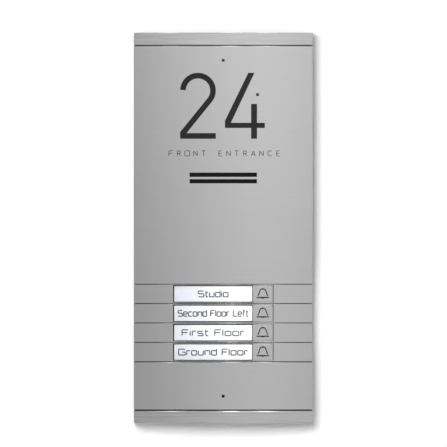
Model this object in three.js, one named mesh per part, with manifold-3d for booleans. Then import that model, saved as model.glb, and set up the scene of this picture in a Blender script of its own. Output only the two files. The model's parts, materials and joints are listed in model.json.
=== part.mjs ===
// Door intercom panel for a house with four flats: a curved brushed-steel front that hangs on a wall tray.
// Millimetres. X runs to the visitor's right, Y into the wall, Z up.
// The origin is the middle of the back face, in the plane of the wall, so the front is at negative Y.
import * as THREE from "three";
import { mergeVertices } from "three/addons/utils/BufferGeometryUtils.js";
import Module from "manifold-3d";

const wasm = await Module();
wasm.setup();

// ---- Driving dimensions ----------------------------------------------------------------------

// Outside of the panel
const PANEL_WIDTH = 133;
const PANEL_HEIGHT = 290;
const PANEL_DEPTH = 30; // from the wall to the crown of the curved front
const FRONT_RADIUS = 280; // the front curves about a vertical axis behind the wall
const SHEET = 2; // thickness of the steel front pieces
const REAR_GAP = 4; // shadow gap between the front pieces and the wall
const ARC_CHORDS = 18; // straight chords across the full width of a curved face

// Front pieces, from the top down
const TOP_STRIP_HEIGHT = 9.1;
const BOTTOM_STRIP_HEIGHT = 9.5;
const END_SEAM = 0.6; // gap next to an end strip
const ROW_COUNT = 4;
const ROW_PITCH = 14.4;
const ROW_SEAM = 0.45; // gap above and below a row
const FIRST_ROW_TOP_Z = -41.8; // middle of the seam above the first row

// One row: the cut-out in its bar, its name window and its button
const CUTOUT_X = [-37.25, 37.4];
const RIDGE = 0.575; // height of steel left above and below the cut-out
const WINDOW_X = [-36.4, 21.5];
const WINDOW_HEIGHT = 11.4;
const WINDOW_THICKNESS = 2.9;
const WINDOW_RECESS = 0.2;
const CARD_THICKNESS = 0.3;
const BUTTON_X = [21.85, 36.9];
const BUTTON_HEIGHT = 12.3;
const BUTTON_BACK_Y = -24.4;
const BUTTON_TRAVEL = 0.8;

// House number, cut through the main plate and filled by the inlay
const DIGIT_STROKE = 4.2;
const DIGIT_BOTTOM_Z = 66.2;
const DIGIT_TOP_Z = 115.2;
const TWO_X = [-32, -5.5];
const TWO_RADIUS = 13.25; // outside of its round head
const FOUR_X = [1.3, 30.9];
const FOUR_BAR_Z = 74.25;

// Square ports and the speaker grille
const PORT_SIZE = 2.1;
const SENSOR_PORT = { x: 0, z: 124.5 };
const LED_PORT = { x: 25.5, z: 99 };
const MICROPHONE_PORT = { x: 0, z: -124.9 };
const SLOT_HALF_WIDTH = 25;
const SLOT_SPANS_Z = [
  [33.1, 36.2],
  [37.9, 41.1],
];
const SPEAKER = { x: 0, z: 37, radius: 25.2 };

// Layers behind the front, as Y of their front and back
const DECK_Y = [-19.5, -17.5]; // the carrier's flat wall
const KEY_FRAME_Y = [-23, -19.6];
const KEY_BOARD_Y = [-17.3, -15.7];
const MAIN_BOARD_Y = [-13.6, -12];
const CARRIER_BACK_Y = -10.5;
const TRAY_FRONT_Y = -9;
const TRAY_FLOOR = 2.2;

// The hinge on which the front hangs
const HINGE = { y: -6.5, z: 135.5, radius: 1.5 };

// Fits
const GAP = 0.3; // between neighbouring pieces
const LOOSE = 0.1; // between a piece and what holds it

// ---- Sizes worked out from them ----------------------------------------------------------------

const HALF_WIDTH = PANEL_WIDTH / 2;
const TOP_Z = PANEL_HEIGHT / 2;
const BOTTOM_Z = -PANEL_HEIGHT / 2;
const CURVE_CENTRE_Y = FRONT_RADIUS - PANEL_DEPTH;
const SHEET_BACK_RADIUS = FRONT_RADIUS - SHEET;
const BEHIND_SHEET_RADIUS = SHEET_BACK_RADIUS - GAP;
const BEFORE_FRONT_Y = -PANEL_DEPTH - 1; // just in front of everything, for cuts
const INNER_HALF_WIDTH = HALF_WIDTH - SHEET;
const LAST_ROW_BOTTOM_Z = FIRST_ROW_TOP_Z - ROW_COUNT * ROW_PITCH;
const BAR_HEIGHT = ROW_PITCH - ROW_SEAM;
const CUTOUT_HEIGHT = BAR_HEIGHT - 2 * RIDGE;
const TOP_SEAM_Z = [TOP_Z - TOP_STRIP_HEIGHT - END_SEAM, TOP_Z - TOP_STRIP_HEIGHT];
const BOTTOM_SEAM_Z = [BOTTOM_Z + BOTTOM_STRIP_HEIGHT, BOTTOM_Z + BOTTOM_STRIP_HEIGHT + END_SEAM];
const ROWS = Array.from({ length: ROW_COUNT }, (_, i) => i + 1);
const ROW_SEAMS_Z = Array.from({ length: ROW_COUNT + 1 }, (_, i) => FIRST_ROW_TOP_Z - ROW_PITCH * i);
const rowZ = (row) => FIRST_ROW_TOP_Z - ROW_PITCH * (row - 0.5);
const around = (middle, size) => [middle - size / 2, middle + size / 2];

// ---- Colours and surfaces -----------------------------------------------------------------------

const LOOKS = {
  brushed_steel: { color: 0xb6b6b4, roughness: 0.36, metalness: 1 },
  zinc_steel: { color: 0xa9adb0, roughness: 0.4, metalness: 1 },
  black_plastic: { color: 0x1d1d1f, roughness: 0.6, metalness: 0 },
  satin_black: { color: 0x2e2e30, roughness: 0.35, metalness: 0 },
  rubber: { color: 0x161616, roughness: 0.9, metalness: 0 },
  foam: { color: 0x2a2a2c, roughness: 1, metalness: 0 },
  clear_acrylic: { color: 0xf4f6f8, roughness: 0.08, metalness: 0 },
  paper: { color: 0xf6f6f8, roughness: 0.8, metalness: 0 },
  opal_acrylic: { color: 0xf0f0ec, roughness: 0.4, metalness: 0 },
  circuit_board: { color: 0x1f5a36, roughness: 0.5, metalness: 0 },
  component_black: { color: 0x18181a, roughness: 0.45, metalness: 0 },
  component_blue: { color: 0x2a63a8, roughness: 0.4, metalness: 0 },
  capacitor_sleeve: { color: 0x22283c, roughness: 0.35, metalness: 0 },
  terminal_green: { color: 0x2f8f4e, roughness: 0.5, metalness: 0 },
  ferrite: { color: 0x6e6f72, roughness: 0.55, metalness: 0.6 },
  cone_paper: { color: 0x242424, roughness: 0.85, metalness: 0 },
};

// ---- Solids -------------------------------------------------------------------------------------

// A closed three.js geometry as a solid that can be joined and cut.
function solidFrom(geometry) {
  geometry.deleteAttribute("normal");
  geometry.deleteAttribute("uv");
  const merged = mergeVertices(geometry, 1e-4);
  const mesh = new wasm.Mesh({
    numProp: 3,
    vertProperties: merged.attributes.position.array,
    triVerts: new Uint32Array(merged.index.array),
  });
  return new wasm.Manifold(mesh);
}

function geometryFrom(solid) {
  const { vertProperties, triVerts } = solid.getMesh();
  const geometry = new THREE.BufferGeometry();
  geometry.setAttribute("position", new THREE.BufferAttribute(vertProperties, 3));
  geometry.setIndex(new THREE.BufferAttribute(triVerts, 1));
  geometry.computeVertexNormals();
  return geometry;
}

const join = (solids) => solids.reduce((whole, piece) => whole.add(piece));
const cut = (solid, tools) => tools.reduce((rest, tool) => rest.subtract(tool), solid);

function block([x0, x1], [y0, y1], [z0, z1]) {
  const geometry = new THREE.BoxGeometry(x1 - x0, y1 - y0, z1 - z0);
  geometry.translate((x0 + x1) / 2, (y0 + y1) / 2, (z0 + z1) / 2);
  return solidFrom(geometry);
}

// Round rods along each axis, given by the two coordinates of their centre line and their span.
function rodAlongX(radius, [y, z], [x0, x1], sides = 16) {
  const geometry = new THREE.CylinderGeometry(radius, radius, x1 - x0, sides);
  geometry.rotateZ(Math.PI / 2);
  geometry.translate((x0 + x1) / 2, y, z);
  return solidFrom(geometry);
}

function rodAlongY(radius, [x, z], [y0, y1], sides = 16) {
  const geometry = new THREE.CylinderGeometry(radius, radius, y1 - y0, sides);
  geometry.translate(x, (y0 + y1) / 2, z);
  return solidFrom(geometry);
}

function rodAlongZ(radius, [x, y], [z0, z1], sides = 16) {
  const geometry = new THREE.CylinderGeometry(radius, radius, z1 - z0, sides);
  geometry.rotateX(Math.PI / 2);
  geometry.translate(x, y, (z0 + z1) / 2);
  return solidFrom(geometry);
}

// A ring or cup turned about an axis along Y. The profile is a closed list of [radius, y], front face first,
// going outwards along the front and back inwards along the rear.
function turned(profile, [x, z], sides = 24) {
  const points = [...profile, profile[0]].map(([radius, y]) => new THREE.Vector2(radius, y));
  const geometry = new THREE.LatheGeometry(points, sides);
  geometry.translate(x, 0, z);
  return solidFrom(geometry);
}

function extrude(points, depth) {
  return new THREE.ExtrudeGeometry(new THREE.Shape(points), { depth, bevelEnabled: false });
}

// An outline in X and Y, drawn up along Z.
function prismAlongZ(points, [z0, z1]) {
  const geometry = extrude(points, z1 - z0);
  geometry.translate(0, 0, z0);
  return solidFrom(geometry);
}

// An outline in X and Z, drawn along Y.
function prismAlongY(points, [y0, y1]) {
  const geometry = extrude(points, y1 - y0);
  geometry.rotateX(Math.PI / 2);
  geometry.translate(0, y1, 0);
  return solidFrom(geometry);
}

// ---- The curved front ---------------------------------------------------------------------------

const point = (x, y) => new THREE.Vector2(x, y);

// Points of the front's curve at a given radius, seen from above.
function frontArc(radius, [fromX, toX]) {
  const start = Math.asin(fromX / radius);
  const sweep = Math.asin(toX / radius) - start;
  const chords = Math.max(2, Math.ceil((ARC_CHORDS * Math.abs(toX - fromX)) / PANEL_WIDTH));
  return Array.from({ length: chords + 1 }, (_, i) => {
    const angle = start + (sweep * i) / chords;
    return point(radius * Math.sin(angle), CURVE_CENTRE_Y - radius * Math.cos(angle));
  });
}

// A body with a curved front and a flat back.
function curvedBlock(radius, spanX, backY, spanZ) {
  const outline = [point(spanX[0], backY), ...frontArc(radius, spanX), point(spanX[1], backY)];
  return prismAlongZ(outline, spanZ);
}

// A sheet that follows the curve between two radii.
function curvedSheet(outerRadius, innerRadius, spanX, spanZ) {
  const outline = [...frontArc(outerRadius, spanX), ...frontArc(innerRadius, spanX).reverse()];
  return prismAlongZ(outline, spanZ);
}

// A steel front piece: the curved face with a flange folded back along each side.
function frontShell(spanZ) {
  const outside = [-HALF_WIDTH, HALF_WIDTH];
  const inside = [-INNER_HALF_WIDTH, INNER_HALF_WIDTH];
  const outline = [
    point(outside[0], -REAR_GAP),
    ...frontArc(FRONT_RADIUS, outside),
    point(outside[1], -REAR_GAP),
    point(inside[1], -REAR_GAP),
    ...frontArc(SHEET_BACK_RADIUS, inside).reverse(),
    point(inside[0], -REAR_GAP),
  ];
  return prismAlongZ(outline, spanZ);
}

// An end strip: a low shell that is closed by a wall at its outer end.
function endStrip(shellZ, wallZ) {
  const wall = curvedBlock(FRONT_RADIUS, [-HALF_WIDTH, HALF_WIDTH], -REAR_GAP, wallZ);
  return frontShell(shellZ).add(wall);
}

// ---- House number -------------------------------------------------------------------------------

// The 2: a round head that runs into a straight slope, on a flat foot.
function digitTwo() {
  const centre = point(TWO_X[0] + TWO_RADIUS, DIGIT_TOP_Z - TWO_RADIUS);
  const inner = TWO_RADIUS - DIGIT_STROKE;
  const footTop = DIGIT_BOTTOM_Z + DIGIT_STROKE;
  const slope = THREE.MathUtils.degToRad(51); // of the straight stroke, from the horizontal
  const leave = slope - Math.PI / 2; // angle at which the head runs into the slope
  const headStart = Math.PI - 0.045; // the open end, cut just above the head's centre
  const onHead = (radius, angle) =>
    point(centre.x + radius * Math.cos(angle), centre.y + radius * Math.sin(angle));
  const head = (radius) =>
    Array.from({ length: 25 }, (_, i) => onHead(radius, headStart + ((leave - headStart) * i) / 24));
  const outerEnd = onHead(TWO_RADIUS, leave);
  const innerEnd = onHead(inner, leave);
  const kneeX = outerEnd.x - (outerEnd.y - footTop) / Math.tan(slope);
  const heelZ = innerEnd.y - (innerEnd.x - TWO_X[0]) * Math.tan(slope);
  return [
    ...head(TWO_RADIUS),
    point(kneeX, footTop),
    point(TWO_X[1], footTop),
    point(TWO_X[1], DIGIT_BOTTOM_Z),
    point(TWO_X[0], DIGIT_BOTTOM_Z),
    point(TWO_X[0], heelZ),
    ...head(inner).reverse(),
  ];
}

// The 4: an open figure whose slope stops short of the upright, so its middle stays joined to the plate.
function digitFour() {
  const barTop = FOUR_BAR_Z + DIGIT_STROKE - 0.35;
  const upright = { left: 20.7, right: 25.1, top: 92.1 };
  const slope = { left: 18.6, right: 23.2, footZ: 79.6, kneeX: 5.7 };
  return [
    point(slope.left, DIGIT_TOP_Z),
    point(slope.right, DIGIT_TOP_Z),
    point(slope.kneeX, barTop),
    point(upright.left, barTop),
    point(upright.left, upright.top),
    point(upright.right, upright.top),
    point(upright.right, barTop),
    point(FOUR_X[1], barTop),
    point(FOUR_X[1], FOUR_BAR_Z),
    point(upright.right, FOUR_BAR_Z),
    point(upright.right, DIGIT_BOTTOM_Z),
    point(upright.left, DIGIT_BOTTOM_Z),
    point(upright.left, FOUR_BAR_Z),
    point(FOUR_X[0], FOUR_BAR_Z),
    point(FOUR_X[0], slope.footZ),
  ];
}

const digitPrisms = (spanY) => [digitTwo(), digitFour()].map((outline) => prismAlongY(outline, spanY));

// ---- Front pieces -------------------------------------------------------------------------------

const THROUGH_SHEET_Y = [BEFORE_FRONT_Y, DECK_Y[0]];

const squareAlongY = ({ x, z }, size, spanY) => block(around(x, size), spanY, around(z, size));
const makePort = (place) => squareAlongY(place, PORT_SIZE, THROUGH_SHEET_Y);

function makeMainPlate() {
  const shell = frontShell([FIRST_ROW_TOP_Z + ROW_SEAM / 2, TOP_SEAM_Z[0]]);
  const slotX = [-SLOT_HALF_WIDTH, SLOT_HALF_WIDTH];
  const slots = SLOT_SPANS_Z.map((spanZ) => block(slotX, THROUGH_SHEET_Y, spanZ));
  const ports = [SENSOR_PORT, LED_PORT].map(makePort);
  return cut(shell, [...digitPrisms(THROUGH_SHEET_Y), ...slots, ...ports]);
}

function makeRowBar(row) {
  const shell = frontShell(around(rowZ(row), BAR_HEIGHT));
  return shell.subtract(block(CUTOUT_X, THROUGH_SHEET_Y, around(rowZ(row), CUTOUT_HEIGHT)));
}

function makeLowerPlate() {
  const shell = frontShell([BOTTOM_SEAM_Z[1], LAST_ROW_BOTTOM_Z - ROW_SEAM / 2]);
  return shell.subtract(makePort(MICROPHONE_PORT));
}

const LOCK_SCREW = { x: 45, y: HINGE.y, radius: 1.5, socketRadius: 0.85, socketDepth: 1.6 };

function makeBottomStrip() {
  const strip = endStrip([BOTTOM_Z, BOTTOM_SEAM_Z[0]], [BOTTOM_Z, BOTTOM_Z + SHEET]);
  const holes = [-LOCK_SCREW.x, LOCK_SCREW.x].map((x) =>
    rodAlongZ(LOCK_SCREW.radius + LOOSE, [x, LOCK_SCREW.y], [BOTTOM_Z - 1, BOTTOM_Z + SHEET + 1]),
  );
  return cut(strip, holes);
}

// The inlay is a thin backing sheet with the digits raised on it, so that they fill the cut-outs.
function makeNumberInlay() {
  const border = 4;
  const spanX = [TWO_X[0] - border, FOUR_X[1] + border];
  const spanZ = [DIGIT_BOTTOM_Z - border, DIGIT_TOP_Z + border];
  const recess = 0.25;
  const backing = curvedSheet(SHEET_BACK_RADIUS - LOOSE, SHEET_BACK_RADIUS - 1, spanX, spanZ);
  const raised = curvedSheet(FRONT_RADIUS - recess, SHEET_BACK_RADIUS - 0.5, spanX, spanZ);
  const digits = digitPrisms(THROUGH_SHEET_Y).map((digit) => digit.intersect(raised));
  const ledHole = rodAlongY(PORT_SIZE + 0.5, [LED_PORT.x, LED_PORT.z], THROUGH_SHEET_Y);
  return cut(join([backing, ...digits]), [ledHole]);
}

// A grub screw with a hexagon socket, backed off so that its tip is clear of the tray.
function makeLockScrew(x) {
  const body = rodAlongZ(LOCK_SCREW.radius, [x, LOCK_SCREW.y], [BOTTOM_Z, TRAY_Z[0] - GAP]);
  const socketZ = [BOTTOM_Z - 1, BOTTOM_Z + LOCK_SCREW.socketDepth];
  const socket = rodAlongZ(LOCK_SCREW.socketRadius, [x, LOCK_SCREW.y], socketZ, 6);
  return body.subtract(socket);
}

// ---- Wall side ----------------------------------------------------------------------------------

const TRAY_HALF_WIDTH = 62;
const TRAY_Z = [-140, 141];
const TRAY_RIM = 1.6;
const GASKET_WIDTH = 3.8;
const GASKET_DEPTH = 1.5;
const WALL_SLOT = { x: 40, z: 105, width: 5, length: 10 };
const CABLE_ENTRY = { x: 0, z: -60, radius: 9.4, bore: 6 };
const HINGE_LUG = { x: [36, 41], z: [131.5, TRAY_Z[1] - 1] };

const grow = ([low, high], by) => [low - by, high + by];

// An upright slot with round ends, for a wall screw.
function wallSlot(x, z) {
  const radius = WALL_SLOT.width / 2;
  const offset = (WALL_SLOT.length - WALL_SLOT.width) / 2;
  const end = (centreZ, from) =>
    Array.from({ length: 9 }, (_, i) => {
      const angle = from + (Math.PI * i) / 8;
      return point(x + radius * Math.cos(angle), centreZ + radius * Math.sin(angle));
    });
  return [...end(z + offset, 0), ...end(z - offset, Math.PI)];
}

const bothSides = (build) => [-1, 1].map(build);
const spanOn = (side, [near, far]) => (side > 0 ? [near, far] : [-far, -near]);

function makeBackTray() {
  const trayX = [-TRAY_HALF_WIDTH, TRAY_HALF_WIDTH];
  const outside = block(trayX, [TRAY_FRONT_Y, 0], TRAY_Z);
  const inside = block(grow(trayX, -TRAY_RIM), [TRAY_FRONT_Y - 1, -TRAY_FLOOR], grow(TRAY_Z, -TRAY_RIM));
  const lugs = bothSides((side) =>
    block(spanOn(side, HINGE_LUG.x), [TRAY_FRONT_Y, -TRAY_FLOOR + 0.1], HINGE_LUG.z),
  );
  const gasketSeat = block(grow(trayX, 1), [-GASKET_DEPTH, 1], grow(TRAY_Z, 1)).subtract(
    block(grow(trayX, -GASKET_WIDTH), [-GASKET_DEPTH - 1, 2], grow(TRAY_Z, -GASKET_WIDTH)),
  );
  const throughFloor = [-TRAY_FLOOR - 1, 1];
  const slots = bothSides((side) =>
    bothSides((end) => prismAlongY(wallSlot(side * WALL_SLOT.x, end * WALL_SLOT.z), throughFloor)),
  ).flat();
  const cableHole = rodAlongY(CABLE_ENTRY.radius, [CABLE_ENTRY.x, CABLE_ENTRY.z], throughFloor, 24);
  const throughLugs = [-HINGE_LUG.x[1] - 1, HINGE_LUG.x[1] + 1];
  const hingeHole = rodAlongX(HINGE.radius + LOOSE, [HINGE.y, HINGE.z], throughLugs);
  const throughRim = [TRAY_Z[0] - 1, TRAY_Z[0] + TRAY_RIM + 1];
  const screwSeats = bothSides((side) =>
    rodAlongZ(LOCK_SCREW.radius + GAP, [side * LOCK_SCREW.x, LOCK_SCREW.y], throughRim),
  );
  const tray = join([outside.subtract(inside), ...lugs]);
  return cut(tray, [gasketSeat, ...slots, cableHole, hingeHole, ...screwSeats]);
}

function makeWallGasket() {
  const trayX = [-TRAY_HALF_WIDTH, TRAY_HALF_WIDTH];
  const outside = block(trayX, [-GASKET_DEPTH + LOOSE, 0], TRAY_Z);
  const width = GASKET_WIDTH - LOOSE;
  return outside.subtract(block(grow(trayX, -width), [-GASKET_DEPTH - 1, 1], grow(TRAY_Z, -width)));
}

// A rubber bush with a groove that snaps into the tray's floor.
function makeCableGrommet() {
  const { radius, bore, x, z } = CABLE_ENTRY;
  const lip = radius + 1.8;
  const neck = radius - LOOSE;
  const profile = [
    [bore, -TRAY_FLOOR - 2],
    [neck, -TRAY_FLOOR - 2],
    [lip, -TRAY_FLOOR - LOOSE],
    [neck, -TRAY_FLOOR - LOOSE],
    [neck, -0.2],
    [bore, -0.2],
  ];
  return turned(profile, [x, z]);
}

function makeHingeRod() {
  const reach = HINGE_LUG.x[1] + 2;
  return rodAlongX(HINGE.radius, [HINGE.y, HINGE.z], [-reach, reach]);
}

// ---- Carrier frame ------------------------------------------------------------------------------

const CARRIER_WALL = 1.8;
const KEY_OPENING = { x: [-41, 37], z: [-99.8, -41.4] };
const HOOK_X = [24, 32];
const MAIN_BOARD = { x: [-50, 50], z: [-131, 2] };
const MAIN_BOARD_POSTS = [
  [46, -2.5],
  [-46, -2.5],
  [46, -127],
  [-46, -127],
];
const KEY_BOARD = { x: [-50, 50], z: [-103, -38] };
const KEY_SCREWS = [
  [-46, -43],
  [46, -98],
];
const SENSOR_BOARD = { x: [-14, 37], z: [91, 132], y: [-21.3, -19.7] };
const SENSOR_PINS = [
  [-10, 95],
  [33, 128],
];
const SPEAKER_COLLAR = { radius: 28.4, frontY: -26, seatY: -25, throat: 23 };
const CLAMP_SCREW_X = 31.8;
const CLAMP_POST_FRONT_Y = -23.5;
const BOOT = { radius: 5.4, bore: 1.05, frontY: -27.5, collarWall: 1.5, collarFrontY: -26, wireHole: 3.5 };
const CABLE_WINDOW = { x: [-30, -16], z: [96, 102] }; // for the sensor board's wires
const POST_RADIUS = 3;
const SENSOR_PIN_RADIUS = 1.3;
const RIB_REACH_IN = 51; // inner end of the light ribs beside the rows
const SCREW = { shank: 1.2, head: 2.4, headHeight: 1.3, hole: 1.35, driveWidth: 0.5, driveLength: 2.8 };

// Hooks that hang over the hinge rod, open downwards so that the front can be lifted off.
function makeHooks() {
  const outer = HINGE.radius + 1.7;
  const bore = HINGE.radius + GAP;
  return bothSides((side) => {
    const spanX = spanOn(side, HOOK_X);
    const ring = rodAlongX(outer, [HINGE.y, HINGE.z], spanX, 20);
    const arm = block(spanX, [-13, HINGE.y], [HINGE.z - 0.5, HINGE.z + 2.1]);
    const foot = block(spanX, [DECK_Y[1] - 0.5, -11.5], [HINGE.z - 4, 141]);
    const mouth = block(grow(spanX, 1), [HINGE.y - bore, HINGE.y + bore], [HINGE.z - outer - 1, HINGE.z]);
    return cut(join([ring, arm, foot]), [rodAlongX(bore, [HINGE.y, HINGE.z], grow(spanX, 1), 20), mouth]);
  });
}

// Ribs that stop light in the seams: across the full width at the ends, beside the cut-outs at the rows.
function makeSeamRibs() {
  const reach = INNER_HALF_WIDTH - 1;
  const thickness = 2;
  const middle = ([low, high]) => (low + high) / 2;
  const endRibs = [TOP_SEAM_Z, BOTTOM_SEAM_Z].map((seam) =>
    curvedBlock(BEHIND_SHEET_RADIUS, [-reach, reach], DECK_Y[0] + 0.5, around(middle(seam), thickness)),
  );
  const besideRows = [RIB_REACH_IN, reach];
  const rowRibs = ROW_SEAMS_Z.flatMap((z) =>
    bothSides((side) =>
      curvedBlock(BEHIND_SHEET_RADIUS, spanOn(side, besideRows), DECK_Y[0] + 0.5, around(z, thickness)),
    ),
  );
  return [...endRibs, ...rowRibs];
}

function makeCarrier() {
  const outerX = [-INNER_HALF_WIDTH + GAP, INNER_HALF_WIDTH - GAP];
  const outerZ = [BOTTOM_Z + SHEET + GAP, TOP_Z - SHEET - GAP];
  const innerX = grow(outerX, -CARRIER_WALL);
  const innerZ = grow(outerZ, -CARRIER_WALL);
  const outside = curvedBlock(BEHIND_SHEET_RADIUS, outerX, CARRIER_BACK_Y, outerZ);
  const pockets = [
    block(innerX, [BEFORE_FRONT_Y, DECK_Y[0]], innerZ),
    block(innerX, [DECK_Y[1], CARRIER_BACK_Y + 1], innerZ),
  ];
  const speakerCentre = [SPEAKER.x, SPEAKER.z];
  const bootCentre = [MICROPHONE_PORT.x, MICROPHONE_PORT.z];
  const clampCentres = [-CLAMP_SCREW_X, CLAMP_SCREW_X].map((x) => [x, SPEAKER.z]);
  const bootCollar = BOOT.radius + BOOT.collarWall;
  const added = [
    rodAlongY(SPEAKER_COLLAR.radius, speakerCentre, [SPEAKER_COLLAR.frontY, DECK_Y[1]], 24),
    rodAlongY(bootCollar, bootCentre, [BOOT.collarFrontY, DECK_Y[1]], 24),
    ...clampCentres.map((centre) => rodAlongY(POST_RADIUS, centre, [CLAMP_POST_FRONT_Y, DECK_Y[1]], 12)),
    ...MAIN_BOARD_POSTS.map((centre) => rodAlongY(POST_RADIUS, centre, [DECK_Y[0], MAIN_BOARD_Y[0]], 12)),
    ...SENSOR_PINS.map((centre) => rodAlongY(SENSOR_PIN_RADIUS, centre, [-22, DECK_Y[1]], 12)),
    ...makeHooks(),
    ...makeSeamRibs(),
  ];
  const throughAll = [BEFORE_FRONT_Y, CARRIER_BACK_Y];
  const clampPilotY = [CLAMP_POST_FRONT_Y + 1, CARRIER_BACK_Y];
  const boardPilotY = [DECK_Y[0] + 1, CARRIER_BACK_Y];
  const holes = [
    rodAlongY(SPEAKER.radius + GAP, speakerCentre, [SPEAKER_COLLAR.seatY, CARRIER_BACK_Y], 24),
    rodAlongY(SPEAKER_COLLAR.throat, speakerCentre, throughAll, 24),
    rodAlongY(BOOT.radius + LOOSE, bootCentre, THROUGH_SHEET_Y, 24),
    rodAlongY(BOOT.wireHole, bootCentre, throughAll),
    block(KEY_OPENING.x, throughAll, KEY_OPENING.z),
    block(CABLE_WINDOW.x, throughAll, CABLE_WINDOW.z),
    ...clampCentres.map((centre) => rodAlongY(SCREW.hole, centre, clampPilotY, 12)),
    ...MAIN_BOARD_POSTS.map((centre) => rodAlongY(SCREW.hole, centre, boardPilotY, 12)),
    ...KEY_SCREWS.map((centre) => rodAlongY(SCREW.hole, centre, throughAll, 12)),
  ];
  return cut(join([cut(outside, pockets), ...added]), holes);
}

// ---- Screws and boards --------------------------------------------------------------------------

// A pan-head screw driven from behind: its head is on the wall side and its shank points to the front.
function makeScrew([x, z], underHeadY, tipY) {
  const head = rodAlongY(SCREW.head, [x, z], [underHeadY, underHeadY + SCREW.headHeight], 12);
  const shank = rodAlongY(SCREW.shank, [x, z], [tipY, underHeadY + 0.5], 8);
  const driveY = [underHeadY + 0.6, underHeadY + SCREW.headHeight + 1];
  const cross = [
    block(around(x, SCREW.driveWidth), driveY, around(z, SCREW.driveLength)),
    block(around(x, SCREW.driveLength), driveY, around(z, SCREW.driveWidth)),
  ];
  return cut(head.add(shank), cross);
}

const drillAll = (solid, centres, spanY, radius = SCREW.hole) =>
  cut(
    solid,
    centres.map((centre) => rodAlongY(radius, centre, grow(spanY, 1), 12)),
  );

const makeMainBoard = () =>
  drillAll(block(MAIN_BOARD.x, MAIN_BOARD_Y, MAIN_BOARD.z), MAIN_BOARD_POSTS, MAIN_BOARD_Y);

const makeKeyBoard = () => drillAll(block(KEY_BOARD.x, KEY_BOARD_Y, KEY_BOARD.z), KEY_SCREWS, KEY_BOARD_Y);

function makeSensorBoard() {
  const board = block(SENSOR_BOARD.x, SENSOR_BOARD.y, SENSOR_BOARD.z);
  return drillAll(board, SENSOR_PINS, SENSOR_BOARD.y, SENSOR_PIN_RADIUS + LOOSE);
}

// Components on the back of the main board.
const onMainBoard = (spanX, height, spanZ) =>
  block(spanX, [MAIN_BOARD_Y[1], MAIN_BOARD_Y[1] + height], spanZ);

const makeAmplifierChip = () => onMainBoard(around(5, 9), 1.6, around(-14, 9));
const makeDoorRelay = () => onMainBoard(around(32, 19), 7, around(-90, 15));

// A row of wire clamps: each has a wire mouth on its upper side and a screw well at the back.
function makeTerminalBlock() {
  const ways = 6;
  const pitch = 5.08;
  const spanZ = [-122, -112];
  const height = 8;
  const body = onMainBoard(around(0, ways * pitch + 1), height, spanZ);
  const backY = MAIN_BOARD_Y[1] + height;
  const wayX = Array.from({ length: ways }, (_, i) => (i - (ways - 1) / 2) * pitch);
  const mouthY = [MAIN_BOARD_Y[1] + 1, MAIN_BOARD_Y[1] + 4.4];
  const mouthZ = [spanZ[1] - 3, spanZ[1] + 1];
  const mouths = wayX.map((x) => block(around(x, 3.2), mouthY, mouthZ));
  const wells = wayX.map((x) => rodAlongY(1.5, [x, spanZ[0] + 3.5], [backY - 2, backY + 1], 8));
  return cut(body, [...mouths, ...wells]);
}

// The capacitor lies on its side.
function makeCapacitor() {
  const radius = 4;
  const x = -36;
  const spanZ = [-36, -20];
  return rodAlongZ(radius, [x, MAIN_BOARD_Y[1] + radius + LOOSE], spanZ, 20);
}

// ---- Speaker, microphone, sensor and status light -----------------------------------------------

const SPEAKER_RIM_Y = [-23.8, -22.8];
const SPEAKER_NECK_Y = [-16.4, -15.4]; // the basket's rear, where the magnet sits
const CLAMP_Y = [-17.4, -16.2];

function makeSpeakerMesh() {
  const reach = SLOT_HALF_WIDTH + 1.4;
  const spanZ = around(SPEAKER.z, 14);
  return curvedSheet(SHEET_BACK_RADIUS - LOOSE, SHEET_BACK_RADIUS - 0.5, [-reach, reach], spanZ);
}

function makeSpeakerGasket() {
  const inner = 22.8;
  const front = SPEAKER_COLLAR.seatY + LOOSE;
  const rear = SPEAKER_RIM_Y[0] - LOOSE;
  const profile = [
    [inner, front],
    [SPEAKER.radius, front],
    [SPEAKER.radius, rear],
    [inner, rear],
  ];
  return turned(profile, [SPEAKER.x, SPEAKER.z]);
}

// The basket: a flat rim, a conical wall with four windows, and a seat for the magnet.
function makeSpeakerBasket() {
  const profile = [
    [20.8, SPEAKER_RIM_Y[0]],
    [SPEAKER.radius, SPEAKER_RIM_Y[0]],
    [SPEAKER.radius, SPEAKER_RIM_Y[1]],
    [21.8, SPEAKER_RIM_Y[1]],
    [13.2, SPEAKER_NECK_Y[1]],
    [4, SPEAKER_NECK_Y[1]],
    [4, SPEAKER_NECK_Y[0]],
    [12.4, SPEAKER_NECK_Y[0]],
  ];
  const shell = turned(profile, [SPEAKER.x, SPEAKER.z]);
  const windowWidth = 5.2;
  const windowY = [-21, -17.4];
  const across = 60;
  const windows = [
    block(around(SPEAKER.x, across), windowY, around(SPEAKER.z, windowWidth)),
    block(around(SPEAKER.x, windowWidth), windowY, around(SPEAKER.z, across)),
  ];
  return cut(shell, windows);
}

// The cone with its domed cap.
function makeSpeakerCone() {
  const profile = [
    [0, -21.2],
    [3.5, -20.4],
    [5.5, -18.6],
    [19.6, -23.5],
    [20.4, -23.5],
    [5.6, -17.8],
    [0, -17.8],
  ];
  return turned(profile, [SPEAKER.x, SPEAKER.z]);
}

function makeSpeakerMagnet() {
  const radius = 13;
  const depth = 3.9;
  const front = SPEAKER_NECK_Y[1] + LOOSE;
  return rodAlongY(radius, [SPEAKER.x, SPEAKER.z], [front, front + depth], 24);
}

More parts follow.
